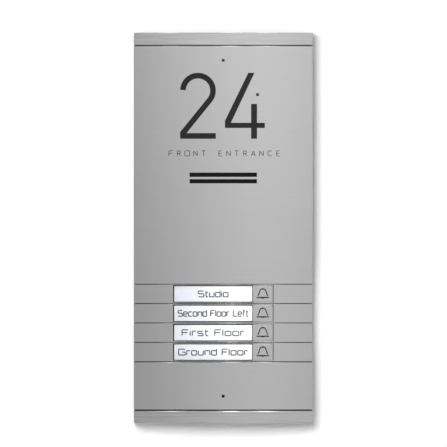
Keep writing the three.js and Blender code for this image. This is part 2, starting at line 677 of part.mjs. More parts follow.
// A ring with two ears that presses the basket's rim forward against the gasket.
function makeSpeakerClamp() {
  const pressY = SPEAKER_RIM_Y[1] + LOOSE;
  const ring = { inner: 22.3, press: 24.4, outer: 28.2 };
  const profile = [
    [ring.inner, pressY],
    [ring.press, pressY],
    [ring.press, CLAMP_Y[0]],
    [ring.outer, CLAMP_Y[0]],
    [ring.outer, CLAMP_Y[1]],
    [ring.inner, CLAMP_Y[1]],
  ];
  const earX = [26, CLAMP_SCREW_X + 3.2];
  const ears = bothSides((side) => block(spanOn(side, earX), CLAMP_Y, around(SPEAKER.z, 8)));
  const centres = [-CLAMP_SCREW_X, CLAMP_SCREW_X].map((x) => [x, SPEAKER.z]);
  return drillAll(join([turned(profile, [SPEAKER.x, SPEAKER.z]), ...ears]), centres, CLAMP_Y);
}

const MICROPHONE = { radius: 3, y: [-24.3, -21.6] };

function makeMicrophoneBoot() {
  const rear = DECK_Y[0] - LOOSE;
  const pocket = MICROPHONE.radius + LOOSE;
  const pocketFront = MICROPHONE.y[0] - LOOSE;
  const profile = [
    [BOOT.bore, BOOT.frontY],
    [BOOT.radius, BOOT.frontY],
    [BOOT.radius, rear],
    [pocket, rear],
    [pocket, pocketFront],
    [BOOT.bore, pocketFront],
  ];
  return turned(profile, [MICROPHONE_PORT.x, MICROPHONE_PORT.z]);
}

const makeMicrophone = () =>
  rodAlongY(MICROPHONE.radius, [MICROPHONE_PORT.x, MICROPHONE_PORT.z], MICROPHONE.y, 20);

const CHIP = { size: 3, height: 1.6 }; // the light sensor and the LED on the sensor board

// A clear square rod with a round foot, from a chip on the sensor board to the face of the main plate.
function makeLightPipe({ x, z }) {
  const recess = 0.15;
  const foot = { radius: 2, height: 1.2 };
  const faceY = CURVE_CENTRE_Y - Math.sqrt(FRONT_RADIUS ** 2 - x ** 2);
  const footY = SENSOR_BOARD.y[0] - CHIP.height - LOOSE;
  const stem = squareAlongY({ x, z }, PORT_SIZE - 2 * LOOSE, [faceY + recess, footY]);
  return stem.add(rodAlongY(foot.radius, [x, z], [footY - foot.height, footY]));
}

const makeChip = (place) =>
  squareAlongY(place, CHIP.size, [SENSOR_BOARD.y[0] - CHIP.height, SENSOR_BOARD.y[0]]);

// ---- Rows: frame, switches, windows and buttons -------------------------------------------------

const STEM = { x: [26, 33], height: 6 };
const SWITCH_FRONT_Y = -20.8;
const SWITCH_WELL_RADIUS = 1.7;
const NIB = { radius: 1.2, tipY: -19.5 };
const BUTTON_FLANGE = { side: 1.7, ends: 0.7 }; // how far it reaches past the cap and the cut-out
const STEM_MIDDLE_X = (STEM.x[0] + STEM.x[1]) / 2;

// The key frame holds the light guide, guides the button stems and fills the gaps round the windows in black.
function makeKeyFrame() {
  const outerX = [-49.5, 49.5];
  const outerZ = [-102.5, -38.5];
  const wall = 1.6;
  const plateBack = KEY_FRAME_Y[0] + 1.5;
  const outside = block(outerX, KEY_FRAME_Y, outerZ);
  const inside = block(grow(outerX, -wall), [plateBack, KEY_FRAME_Y[1] + 1], grow(outerZ, -wall));
  const bosses = KEY_SCREWS.map((centre) => rodAlongY(POST_RADIUS, centre, KEY_FRAME_Y, 12));
  const openingX = [WINDOW_X[0] - LOOSE, WINDOW_X[1] - 1.2];
  const openingZ = [LAST_ROW_BOTTOM_Z + 1, FIRST_ROW_TOP_Z - 1];
  const throughAll = [BEFORE_FRONT_Y, 0];
  const windowOpening = block(openingX, throughAll, openingZ);
  const clearance = LOOSE + GAP;
  const stemHoles = ROWS.map((row) =>
    block(grow(STEM.x, clearance), throughAll, around(rowZ(row), STEM.height + 2 * clearance)),
  );
  const screwHoles = KEY_SCREWS.map((centre) => rodAlongY(SCREW.hole, centre, [KEY_FRAME_Y[0] + 1, 0], 12));
  const body = cut(join([outside.subtract(inside), ...bosses]), [windowOpening, ...stemHoles, ...screwHoles]);

  const ribHeight = ROW_PITCH - WINDOW_HEIGHT - 2 * LOOSE;
  const ribX = [WINDOW_X[0] - 2.2, WINDOW_X[1] - 0.2];
  const ribs = ROW_SEAMS_Z.map((z) =>
    curvedBlock(BEHIND_SHEET_RADIUS, ribX, plateBack, around(z, ribHeight)),
  );
  const leftWall = curvedBlock(BEHIND_SHEET_RADIUS, [ribX[0], WINDOW_X[0] - LOOSE], plateBack, [
    LAST_ROW_BOTTOM_Z,
    FIRST_ROW_TOP_Z,
  ]);
  return join([body, ...ribs, leftWall]);
}

const cardFrontRadius = FRONT_RADIUS - WINDOW_RECESS - WINDOW_THICKNESS - LOOSE;

const makeNameWindow = (row) =>
  curvedSheet(
    FRONT_RADIUS - WINDOW_RECESS,
    FRONT_RADIUS - WINDOW_RECESS - WINDOW_THICKNESS,
    WINDOW_X,
    around(rowZ(row), WINDOW_HEIGHT),
  );

const makeNameCard = (row) =>
  curvedSheet(cardFrontRadius, cardFrontRadius - CARD_THICKNESS, WINDOW_X, around(rowZ(row), WINDOW_HEIGHT));

// An opal comb: one slab behind all rows with a pad that comes forward to the back of each card.
function makeLightGuide() {
  const spanX = [WINDOW_X[0] + 0.2, WINDOW_X[1] - 1.5];
  const slab = block(spanX, [-21.2, -19], [LAST_ROW_BOTTOM_Z + 1.3, FIRST_ROW_TOP_Z - 1.3]);
  const padRadius = cardFrontRadius - CARD_THICKNESS - GAP;
  const pads = ROWS.map((row) => curvedBlock(padRadius, spanX, -21, around(rowZ(row), WINDOW_HEIGHT - 0.4)));
  return join([slab, ...pads]);
}

// A strip of LEDs down the middle of the light guide.
function makeBacklight() {
  const middleZ = (FIRST_ROW_TOP_Z + LAST_ROW_BOTTOM_Z) / 2;
  return block(around(-8, 4), [KEY_BOARD_Y[0] - 1.5, KEY_BOARD_Y[0]], around(middleZ, 40));
}

// A sealed switch with its snap dome at the bottom of a round well.
function makeTactSwitch(row) {
  const size = 6.2;
  const place = { x: STEM_MIDDLE_X, z: rowZ(row) };
  const wellY = [SWITCH_FRONT_Y - 1, NIB.tipY + BUTTON_TRAVEL + GAP];
  const body = squareAlongY(place, size, [SWITCH_FRONT_Y, KEY_BOARD_Y[0]]);
  return body.subtract(rodAlongY(SWITCH_WELL_RADIUS, [place.x, place.z], wellY));
}

// The cap fills its end of the cut-out. A flange behind the bar keeps it in, and a stem reaches the switch.
function makeBellButton(row) {
  const z = rowZ(row);
  const cap = curvedBlock(FRONT_RADIUS, BUTTON_X, BUTTON_BACK_Y, around(z, BUTTON_HEIGHT));
  const flangeX = [BUTTON_X[0], BUTTON_X[1] + BUTTON_FLANGE.side];
  const flangeZ = around(z, CUTOUT_HEIGHT + BUTTON_FLANGE.ends);
  const flange = curvedBlock(BEHIND_SHEET_RADIUS, flangeX, BUTTON_BACK_Y, flangeZ);
  const stemY = [BUTTON_BACK_Y - 0.5, SWITCH_FRONT_Y - BUTTON_TRAVEL - GAP];
  const stem = block(STEM.x, stemY, around(z, STEM.height));
  const nib = rodAlongY(NIB.radius, [STEM_MIDDLE_X, z], [BUTTON_BACK_Y, NIB.tipY], 12);
  return join([cap, flange, stem, nib]);
}

// ---- Assembly -----------------------------------------------------------------------------------

const panel = new THREE.Group();
panel.name = "door_intercom_panel";

function place(group, name, look, solid) {
  const mesh = new THREE.Mesh(geometryFrom(solid), new THREE.MeshStandardMaterial(LOOKS[look]));
  mesh.name = name;
  group.add(mesh);
}

const wallBase = new THREE.Group();
place(wallBase, "back_tray", "black_plastic", makeBackTray());
place(wallBase, "wall_gasket", "foam", makeWallGasket());
place(wallBase, "cable_grommet", "rubber", makeCableGrommet());
place(wallBase, "hinge_rod", "zinc_steel", makeHingeRod());

const frontUnit = new THREE.Group();
place(frontUnit, "carrier_frame", "black_plastic", makeCarrier());
place(frontUnit, "top_end_strip", "brushed_steel", endStrip([TOP_SEAM_Z[1], TOP_Z], [TOP_Z - SHEET, TOP_Z]));
place(frontUnit, "main_plate", "brushed_steel", makeMainPlate());
place(frontUnit, "lower_plate", "brushed_steel", makeLowerPlate());
place(frontUnit, "bottom_end_strip", "brushed_steel", makeBottomStrip());
place(frontUnit, "number_inlay", "satin_black", makeNumberInlay());
place(frontUnit, "lock_screw_left", "zinc_steel", makeLockScrew(-LOCK_SCREW.x));
place(frontUnit, "lock_screw_right", "zinc_steel", makeLockScrew(LOCK_SCREW.x));

place(frontUnit, "speaker_mesh", "component_black", makeSpeakerMesh());
place(frontUnit, "speaker_gasket", "foam", makeSpeakerGasket());
place(frontUnit, "speaker_basket", "zinc_steel", makeSpeakerBasket());
place(frontUnit, "speaker_cone", "cone_paper", makeSpeakerCone());
place(frontUnit, "speaker_magnet", "ferrite", makeSpeakerMagnet());
place(frontUnit, "speaker_clamp", "black_plastic", makeSpeakerClamp());
[-CLAMP_SCREW_X, CLAMP_SCREW_X].forEach((x, i) =>
  place(frontUnit, `clamp_screw_${i + 1}`, "zinc_steel", makeScrew([x, SPEAKER.z], CLAMP_Y[1], -22)),
);

place(frontUnit, "microphone", "zinc_steel", makeMicrophone());
place(frontUnit, "microphone_boot", "rubber", makeMicrophoneBoot());
place(frontUnit, "sensor_board", "circuit_board", makeSensorBoard());
place(frontUnit, "light_sensor", "component_black", makeChip(SENSOR_PORT));
place(frontUnit, "status_led", "opal_acrylic", makeChip(LED_PORT));
place(frontUnit, "sensor_light_pipe", "clear_acrylic", makeLightPipe(SENSOR_PORT));
place(frontUnit, "led_light_pipe", "clear_acrylic", makeLightPipe(LED_PORT));

place(frontUnit, "main_board", "circuit_board", makeMainBoard());
place(frontUnit, "amplifier_chip", "component_black", makeAmplifierChip());
place(frontUnit, "supply_capacitor", "capacitor_sleeve", makeCapacitor());
place(frontUnit, "door_relay", "component_blue", makeDoorRelay());
place(frontUnit, "terminal_block", "terminal_green", makeTerminalBlock());
[MAIN_BOARD_POSTS[0], MAIN_BOARD_POSTS[3]].forEach((centre, i) =>
  place(frontUnit, `main_board_screw_${i + 1}`, "zinc_steel", makeScrew(centre, MAIN_BOARD_Y[1], -18)),
);

place(frontUnit, "key_frame", "black_plastic", makeKeyFrame());
place(frontUnit, "key_board", "circuit_board", makeKeyBoard());
place(frontUnit, "name_light_guide", "opal_acrylic", makeLightGuide());
place(frontUnit, "backlight_led", "opal_acrylic", makeBacklight());
KEY_SCREWS.forEach((centre, i) =>
  place(frontUnit, `key_board_screw_${i + 1}`, "zinc_steel", makeScrew(centre, KEY_BOARD_Y[1], -21.5)),
);

for (const row of ROWS) {
  place(frontUnit, `row_bar_${row}`, "brushed_steel", makeRowBar(row));
  place(frontUnit, `name_window_${row}`, "clear_acrylic", makeNameWindow(row));
  place(frontUnit, `name_card_${row}`, "paper", makeNameCard(row));
  place(frontUnit, `tact_switch_${row}`, "component_black", makeTactSwitch(row));
}

const buttons = new THREE.Group();
for (const row of ROWS) {
  place(buttons, `bell_button_${row}`, "brushed_steel", makeBellButton(row));
}

panel.add(wallBase, frontUnit, buttons);

export default panel;
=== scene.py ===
import json
import math

import bmesh
import bpy
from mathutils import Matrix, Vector


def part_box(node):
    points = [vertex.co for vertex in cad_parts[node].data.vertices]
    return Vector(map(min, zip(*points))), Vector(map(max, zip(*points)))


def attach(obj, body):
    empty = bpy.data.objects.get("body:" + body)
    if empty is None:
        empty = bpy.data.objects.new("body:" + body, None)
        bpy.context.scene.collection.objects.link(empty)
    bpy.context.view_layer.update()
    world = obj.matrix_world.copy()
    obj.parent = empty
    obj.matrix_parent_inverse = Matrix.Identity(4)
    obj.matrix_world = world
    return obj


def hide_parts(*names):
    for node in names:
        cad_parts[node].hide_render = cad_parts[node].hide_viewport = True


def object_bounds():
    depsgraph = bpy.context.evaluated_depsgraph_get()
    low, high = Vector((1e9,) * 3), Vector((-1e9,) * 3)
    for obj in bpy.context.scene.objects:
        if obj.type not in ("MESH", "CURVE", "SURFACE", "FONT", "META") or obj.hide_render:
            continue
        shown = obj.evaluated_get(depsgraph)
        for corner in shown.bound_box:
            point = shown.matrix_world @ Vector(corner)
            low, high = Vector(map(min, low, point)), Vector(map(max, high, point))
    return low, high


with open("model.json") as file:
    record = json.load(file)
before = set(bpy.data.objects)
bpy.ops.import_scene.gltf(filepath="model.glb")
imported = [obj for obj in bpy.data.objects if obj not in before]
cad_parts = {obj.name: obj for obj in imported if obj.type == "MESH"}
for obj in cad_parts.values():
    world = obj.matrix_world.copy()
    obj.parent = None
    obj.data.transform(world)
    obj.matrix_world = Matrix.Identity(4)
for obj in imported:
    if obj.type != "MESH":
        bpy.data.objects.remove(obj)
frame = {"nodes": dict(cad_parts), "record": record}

# ---- Driving dimensions, in metres --------------------------------------------------------------

MM = 0.001
CAD_LOW, CAD_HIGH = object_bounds()

SKIN = 0.01 * MM  # the drawn front lies this far inside the CAD's, so printed marks stay in its box
MARK_PROUD = 0.008 * MM  # how far ink and enamel stand out of the surface they are on
MARK_DEPTH = 0.1 * MM  # and how far they reach into it
CLOSE = 0.01 * MM  # points nearer than this count as at the same place
MERGE = 1e-7  # corners nearer than this become one
GAP = 0.3 * MM  # between neighbouring pieces
CAD_RADIUS = 280 * MM  # the front curves about a vertical axis behind the wall
FRONT_RADIUS = CAD_RADIUS - SKIN
SHEET = 2 * MM
SEAM_POLISH = 0.4 * MM  # width of the polished edge along a seam
CUTOUT_POLISH = 0.25 * MM
LOWER_CHAMFER = 1.0 * MM  # the wide polished chamfer on the bottom strip
EASE = 0.2 * MM  # the small rounding of strips and windows
FINE_CHORD = 1.6 * MM  # length of a straight step round the front's curve

CURVE_CENTRE_Y = CAD_LOW.y + CAD_RADIUS
HALF_WIDTH = CAD_HIGH.x
REAR_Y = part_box("main_plate")[1].y
CUT_Y = (CAD_LOW.y - 2 * MM, CAD_LOW.y + 11 * MM)  # from before the front to behind the sheet
CUTOUT_X = (-37.25 * MM, 37.4 * MM)
CUTOUT_HALF_HEIGHT = 6.4 * MM
SLOT_HALF_WIDTH = 25 * MM
SLOT_SPANS_Z = ((33.1 * MM, 36.2 * MM), (37.9 * MM, 41.1 * MM))
PORT_SIZE = 2.1 * MM
SCREW_PLAY = 0.15 * MM  # round a lock screw
CARD_RADIUS = CAD_RADIUS - 3.2 * MM
CARD_THICKNESS = 0.3 * MM
WINDOW_RECESS = 0.2 * MM
WINDOW_THICKNESS = 2.9 * MM
CAP_WIDTH = 15.05 * MM
CAP_HALF_HEIGHT = 6.15 * MM
CAP_BACK_Y = -24.4 * MM

ROWS = (1, 2, 3, 4)


def span(node, axis):
    """Lowest and highest value of a CAD node along x, y or z."""
    low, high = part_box(node)
    return getattr(low, axis), getattr(high, axis)


def middle(node):
    low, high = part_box(node)
    return (low + high) / 2


# ---- Outlines -----------------------------------------------------------------------------------


def front_y(x, radius=FRONT_RADIUS):
    """Y at x of the curved surface with that radius."""
    return CURVE_CENTRE_Y - math.sqrt(radius * radius - x * x)


def front_arc(radius, x0, x1, steps=None):
    """Points (x, y) round the curve from x0 to x1, in equal steps."""
    steps = steps or max(2, math.ceil(abs(x1 - x0) / FINE_CHORD))
    start = math.asin(x0 / radius)
    sweep = math.asin(x1 / radius) - start
    angles = [start + sweep * i / steps for i in range(steps + 1)]
    return [(radius * math.sin(a), CURVE_CENTRE_Y - radius * math.cos(a)) for a in angles]


def curved_block_outline(radius, x0, x1, back_y):
    return [(x0, back_y)] + front_arc(radius, x0, x1) + [(x1, back_y)]


def curved_sheet_outline(outer_radius, inner_radius, x0, x1):
    return front_arc(outer_radius, x0, x1) + front_arc(inner_radius, x1, x0)


def rectangle(x0, x1, z0, z1):
    return [(x0, z0), (x1, z0), (x1, z1), (x0, z1)]


def arc_points(x, z, radius, start, end, steps):
    angles = [start + (end - start) * i / steps for i in range(steps + 1)]
    return [(x + radius * math.cos(a), z + radius * math.sin(a)) for a in angles]


def square(centre, size):
    half = size / 2
    return rectangle(centre.x - half, centre.x + half, centre.z - half, centre.z + half)


# ---- Mesh helpers -------------------------------------------------------------------------------

SECOND_MATERIAL = 1  # the slot after the first
CORNER_ANGLE = math.radians(35)  # edges that turn more are rounded
SHARP_ANGLE = math.radians(38)  # edges that turn more are shaded sharp
FACES_AWAY = 0.7  # part of a normal along an axis from which a face looks along it


def new_object(name, bm):
    bmesh.ops.recalc_face_normals(bm, faces=bm.faces)
    mesh = bpy.data.meshes.new(name)
    bm.to_mesh(mesh)
    bm.free()
    obj = bpy.data.objects.new(name, mesh)
    bpy.context.scene.collection.objects.link(obj)
    return obj


def add_sides(bm, first, second):
    for i in range(len(first)):
        j = (i + 1) % len(first)
        bm.faces.new((first[i], first[j], second[j], second[i]))


def prism_along_z(name, outline, z0, z1):
    """A closed solid: an outline in x and y, drawn from z0 to z1."""
    bm = bmesh.new()
    lower = [bm.verts.new((x, y, z0)) for x, y in outline]
    upper = [bm.verts.new((x, y, z1)) for x, y in outline]
    add_sides(bm, lower, upper)
    bm.faces.new(lower)
    bm.faces.new(upper)
    return new_object(name, bm)


def cutter(outlines):
    """A closed solid through the front for each outline in x and z."""
    bm = bmesh.new()
    for outline in outlines:
        front = [bm.verts.new((x, CUT_Y[0], z)) for x, z in outline]
        back = [bm.verts.new((x, CUT_Y[1], z)) for x, z in outline]
        add_sides(bm, front, back)
        bm.faces.new(front)
        bm.faces.new(back)
    return new_object("cutter", bm)


def curved_pads(name, polygons, front_radius, back_radius):
    """Thin closed solids that follow the front's curve, from polygons in x and z.

    Polygons that share a corner grow together there.
    """
    bm = bmesh.new()
    for polygon in polygons:
        bm.faces.new([bm.verts.new((x, 0, z)) for x, z in polygon])
    bmesh.ops.remove_doubles(bm, verts=bm.verts, dist=MERGE)
    xs = [v.co.x for v in bm.verts]
    low, high = min(xs), max(xs)
    steps = math.ceil((high - low) / FINE_CHORD)
    for i in range(1, steps):
        x = low + (high - low) * i / steps
        parts = bm.verts[:] + bm.edges[:] + bm.faces[:]
        bmesh.ops.bisect_plane(bm, geom=parts, plane_co=(x, 0, 0), plane_no=(1, 0, 0), dist=MERGE)
    extruded = bmesh.ops.extrude_face_region(bm, geom=bm.faces[:], use_keep_orig=True)
    back = {v for v in extruded["geom"] if isinstance(v, bmesh.types.BMVert)}
    for v in bm.verts:
        v.co.y = front_y(v.co.x, back_radius if v in back else front_radius)
    return new_object(name, bm)


def apply_modifiers(obj):
    """Puts the evaluated mesh in the object's place, and clears the modifiers."""
    depsgraph = bpy.context.evaluated_depsgraph_get()
    evaluated = obj.evaluated_get(depsgraph)
    mesh = bpy.data.meshes.new_from_object(
        evaluated, preserve_all_data_layers=True, depsgraph=depsgraph
    )
    obj.modifiers.clear()
    obj.data = mesh


def boolean(obj, tool, operation="DIFFERENCE"):
    modifier = obj.modifiers.new("boolean", "BOOLEAN")
    modifier.operation = operation
    modifier.solver = "EXACT"
    modifier.object = tool
    apply_modifiers(obj)
    bpy.data.objects.remove(tool)


def bevel(obj, width, segments=3, material=SECOND_MATERIAL, lower_share=1.0):
    """Rounds every corner, in the material of a given slot.

    The lowest edges are rounded by only a share of the width.
    """
    bm = bmesh.new()
    bm.from_mesh(obj.data)
    weight = bm.edges.layers.float.new("bevel_weight_edge")
    bottom = min(v.co.z for v in bm.verts)
    for edge in bm.edges:
        lowest = all(abs(v.co.z - bottom) < CLOSE for v in edge.verts)
        corner = edge.calc_face_angle(0) > CORNER_ANGLE
        edge[weight] = (lower_share if lowest else 1.0) * corner
    bm.to_mesh(obj.data)
    bm.free()
    modifier = obj.modifiers.new("edges", "BEVEL")
    modifier.width = width
    modifier.segments = segments
    modifier.limit_method = "WEIGHT"
    modifier.material = material
    apply_modifiers(obj)


def chamfer_front_edge(obj, z, width):
    """Rounds the front edge of the end at height z, in the object's second material."""
    bm = bmesh.new()
    bm.from_mesh(obj.data)
    at_end = [v for v in bm.verts if abs(v.co.z - z) < CLOSE]
    chosen = {v for v in at_end if abs(v.co.y - front_y(v.co.x)) < CLOSE}
    edges = [e for e in bm.edges if e.verts[0] in chosen and e.verts[1] in chosen]
    bmesh.ops.bevel(
        bm,
        geom=edges,
        offset=width,
        segments=3,
        profile=0.5,
        affect="EDGES",
        material=SECOND_MATERIAL,
    )
    bm.to_mesh(obj.data)
    bm.free()


def shade(obj):
    """Smooth shading, with sharp edges at corners and where the material changes."""
    bm = bmesh.new()
    bm.from_mesh(obj.data)
    for face in bm.faces:
        face.smooth = True
    for edge in bm.edges:
        faces = edge.link_faces
        whole = len(faces) == 2
        turn = edge.calc_face_angle(0) if whole else 0
        same = whole and faces[0].material_index == faces[1].material_index
        edge.smooth = same and turn < SHARP_ANGLE
    bm.to_mesh(obj.data)
    bm.free()


def unwrap_level(obj):
    """A map whose u runs level round the panel, for the direction of the brushing."""
    uv = obj.data.uv_layers.new(name="brushing")
    for polygon in obj.data.polygons:
        faces_sideways = abs(polygon.normal.x) > FACES_AWAY
        faces_up_or_down = abs(polygon.normal.z) > FACES_AWAY
        for index in polygon.loop_indices:
            x, y, z = obj.data.vertices[obj.data.loops[index].vertex_index].co
            u = y if faces_sideways else FRONT_RADIUS * math.asin(x / FRONT_RADIUS)
            v = y if faces_up_or_down else z
            uv.data[index].uv = (u, v)


def paint(obj, *materials):
    """Fills the material slots, keeping which face uses which slot."""
    indices = [polygon.material_index for polygon in obj.data.polygons]
    obj.data.materials.clear()
    for material in materials:
        obj.data.materials.append(material)
    for polygon, index in zip(obj.data.polygons, indices):
        polygon.material_index = min(index, len(materials) - 1)


def register(obj, body, slot, *nodes):
    """Shades a finished piece, gives it its body and hides the CAD nodes that it stands for. slot is
    not used.
    """
    shade(obj)
    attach(obj, body)
    if nodes:
        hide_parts(*nodes)


# ---- Materials ----------------------------------------------------------------------------------


class Material:
    """A node material built round one Principled shader."""

    def __init__(self, name):
        self.material = bpy.data.materials.new(name)
        self.material.use_nodes = True
        self.nodes = self.material.node_tree.nodes
        self.links = self.material.node_tree.links
        self.shader = self.nodes["Principled BSDF"]

    def set(self, **values):
        """Sets shader sockets. An underscore stands for a space."""
        for key, value in values.items():
            self.shader.inputs[key.replace("_", " ")].default_value = value
        return self

    def add(self, kind, **settings):
        node = self.nodes.new(kind)
        for key, value in settings.items():
            setattr(node, key, value)
        return node

    def link(self, output, target):
        self.links.new(output, target)

    def position(self, scale=(1, 1, 1)):
        """Object coordinates, with a scale for each axis."""
        coordinates = self.add("ShaderNodeTexCoord")
        mapping = self.add("ShaderNodeMapping")
        mapping.inputs["Scale"].default_value = scale
        self.link(coordinates.outputs["Object"], mapping.inputs["Vector"])
        return mapping.outputs["Vector"]

    def noise(self, scale, detail=3.0, roughness=0.5):
        """Noise from 0 to 1, with its number of grains per metre along each axis."""
        texture = self.add("ShaderNodeTexNoise")
        texture.inputs["Scale"].default_value = 1
        texture.inputs["Detail"].default_value = detail
        texture.inputs["Roughness"].default_value = roughness
        self.link(self.position(scale), texture.inputs["Vector"])
        return texture.outputs["Fac"]

    def range(self, value, low, high, out_low=0.0, out_high=1.0):
        node = self.add("ShaderNodeMapRange")
        node.inputs["From Min"].default_value = low
        node.inputs["From Max"].default_value = high
        node.inputs["To Min"].default_value = out_low
        node.inputs["To Max"].default_value = out_high
        self.link(value, node.inputs["Value"])
        return node.outputs["Result"]

    def colour(self, factor, first, second, low=0.3, high=0.7):
        node = self.add("ShaderNodeMix", data_type="RGBA")
        colours = [socket for socket in node.inputs if socket.type == "RGBA"]
        colours[0].default_value = (*first, 1)
        colours[1].default_value = (*second, 1)
        self.link(self.range(factor, low, high), node.inputs["Factor"])
        output = next(socket for socket in node.outputs if socket.type == "RGBA")
        self.link(output, self.shader.inputs["Base Color"])
        return self

    def roughness(self, value, low, high):
        self.link(self.range(value, 0.3, 0.7, low, high), self.shader.inputs["Roughness"])
        return self

    def bump(self, height, strength, distance):
        node = self.add("ShaderNodeBump")
        node.inputs["Strength"].default_value = strength
        node.inputs["Distance"].default_value = distance
        self.link(height, node.inputs["Height"])
        self.link(node.outputs["Normal"], self.shader.inputs["Normal"])
        return self


def grey(value):
    return (value, value, value)


def brushed_steel(name, streaks):
    """Steel brushed from side to side. streaks is how plainly the brushing shows, from 0 to 1."""
    tone = 0.60
    smooth, rough = 0.34, 0.34 + 0.05 * streaks
    made = Material(name).set(Metallic=1.0, Anisotropic=0.35)
    tangent = made.add("ShaderNodeTangent", direction_type="UV_MAP", uv_map="brushing")
    made.link(tangent.outputs["Tangent"], made.shader.inputs["Tangent"])
    lines = made.noise((28, 28, 1000), detail=3.0, roughness=0.6)
    contrast = 0.13 * streaks
    made.colour(lines, grey(tone * (1 - contrast)), grey(tone * (1 + contrast)))
    made.roughness(lines, smooth, rough)
    grain = made.noise((300, 300, 5200), detail=2.0)
    return made.bump(grain, 0.08, 0.02 * MM).material


def polished_steel():
    made = Material("polished_steel").set(Metallic=1.0)
    wear = made.noise((300, 300, 900), detail=2.0)
    made.colour(wear, grey(0.62), grey(0.70))
    return made.roughness(wear, 0.12, 0.18).material


def plastic(name, dark, light, low, high, grain=900, strength=0.12, specular=0.5):
    """Moulded plastic or lacquer with a fine grain."""
    made = Material(name).set(Specular_IOR_Level=specular)
    texture = made.noise((grain, grain, grain))
    made.colour(texture, dark, light)
    made.roughness(texture, low, high)
    return made.bump(texture, strength, 0.05 * MM).material


def bright_metal(name, dark, light, low, high):
    made = Material(name).set(Metallic=1.0)
    bloom = made.noise((180, 180, 180), detail=4.0)
    made.colour(bloom, dark, light)
    return made.roughness(bloom, low, high).material


def clear_acrylic():
    """Clear plastic that lets the lamps through to what is behind it."""
    made = Material("clear_acrylic").set(Transmission_Weight=1.0, IOR=1.49)
    haze = made.noise((60, 60, 60), detail=2.0)
    made.colour(haze, grey(0.97), grey(0.99))
    made.roughness(haze, 0.02, 0.05)
    rays = made.add("ShaderNodeLightPath")
    open_way = made.add("ShaderNodeBsdfTransparent")
    mix = made.add("ShaderNodeMixShader")
    made.link(rays.outputs["Is Shadow Ray"], mix.inputs[0])
    made.link(made.shader.outputs["BSDF"], mix.inputs[1])
    made.link(open_way.outputs["BSDF"], mix.inputs[2])
    made.link(mix.outputs["Shader"], made.nodes["Material Output"].inputs["Surface"])
    return made.material


def label_paper():
    made = Material("label_paper")
    fibre = made.noise((900, 900, 900), detail=5.0, roughness=0.7)
    made.colour(fibre, (0.56, 0.57, 0.62), (0.64, 0.65, 0.70))
    made.roughness(fibre, 0.55, 0.7)
    return made.bump(fibre, 0.05, 0.01 * MM).material


def opal_plastic():
    made = Material("opal_acrylic").set(Subsurface_Weight=0.3, Subsurface_Scale=1.5 * MM)
    cloud = made.noise((120, 120, 120))
    made.colour(cloud, grey(0.76), grey(0.84))
    return made.roughness(cloud, 0.35, 0.45).material


def circuit_board():
    """Green solder mask over a faint pattern of copper tracks."""
    made = Material("circuit_board")
    tracks = made.add("ShaderNodeTexBrick")
    tracks.inputs["Scale"].default_value = 260
    tracks.inputs["Mortar Size"].default_value = 0.03
    made.link(made.position(), tracks.inputs["Vector"])
    made.colour(tracks.outputs["Fac"], (0.010, 0.075, 0.03), (0.03, 0.17, 0.065), 0, 1)
    cloud = made.noise((150, 150, 150))
    made.roughness(cloud, 0.32, 0.45)
    return made.bump(tracks.outputs["Fac"], 0.2, 0.03 * MM).material


def cellular(name, value, cells_per_metre):
    """Foam: small dark cells in a paler mass."""
    made = Material(name)
    cells = made.add("ShaderNodeTexVoronoi")
    cells.inputs["Scale"].default_value = cells_per_metre
    made.link(made.position(), cells.inputs["Vector"])
    made.colour(cells.outputs["Distance"], grey(value * 0.5), grey(value * 1.4), 0, 0.8)
    made.roughness(cells.outputs["Distance"], 0.85, 0.95)
    return made.bump(cells.outputs["Distance"], 0.5, 0.15 * MM).material


def woven_mesh():
    """The fine black cloth behind the speaker slots."""
    made = Material("speaker_cloth").set(Specular_IOR_Level=0.2)
    threads = made.add("ShaderNodeTexWave", wave_type="BANDS", bands_direction="DIAGONAL")
    threads.inputs["Scale"].default_value = 700
    made.link(made.position(), threads.inputs["Vector"])
    made.colour(threads.outputs["Fac"], grey(0.002), grey(0.010), 0, 1)
    made.roughness(threads.outputs["Fac"], 0.8, 0.6)
    return made.bump(threads.outputs["Fac"], 0.6, 0.1 * MM).material


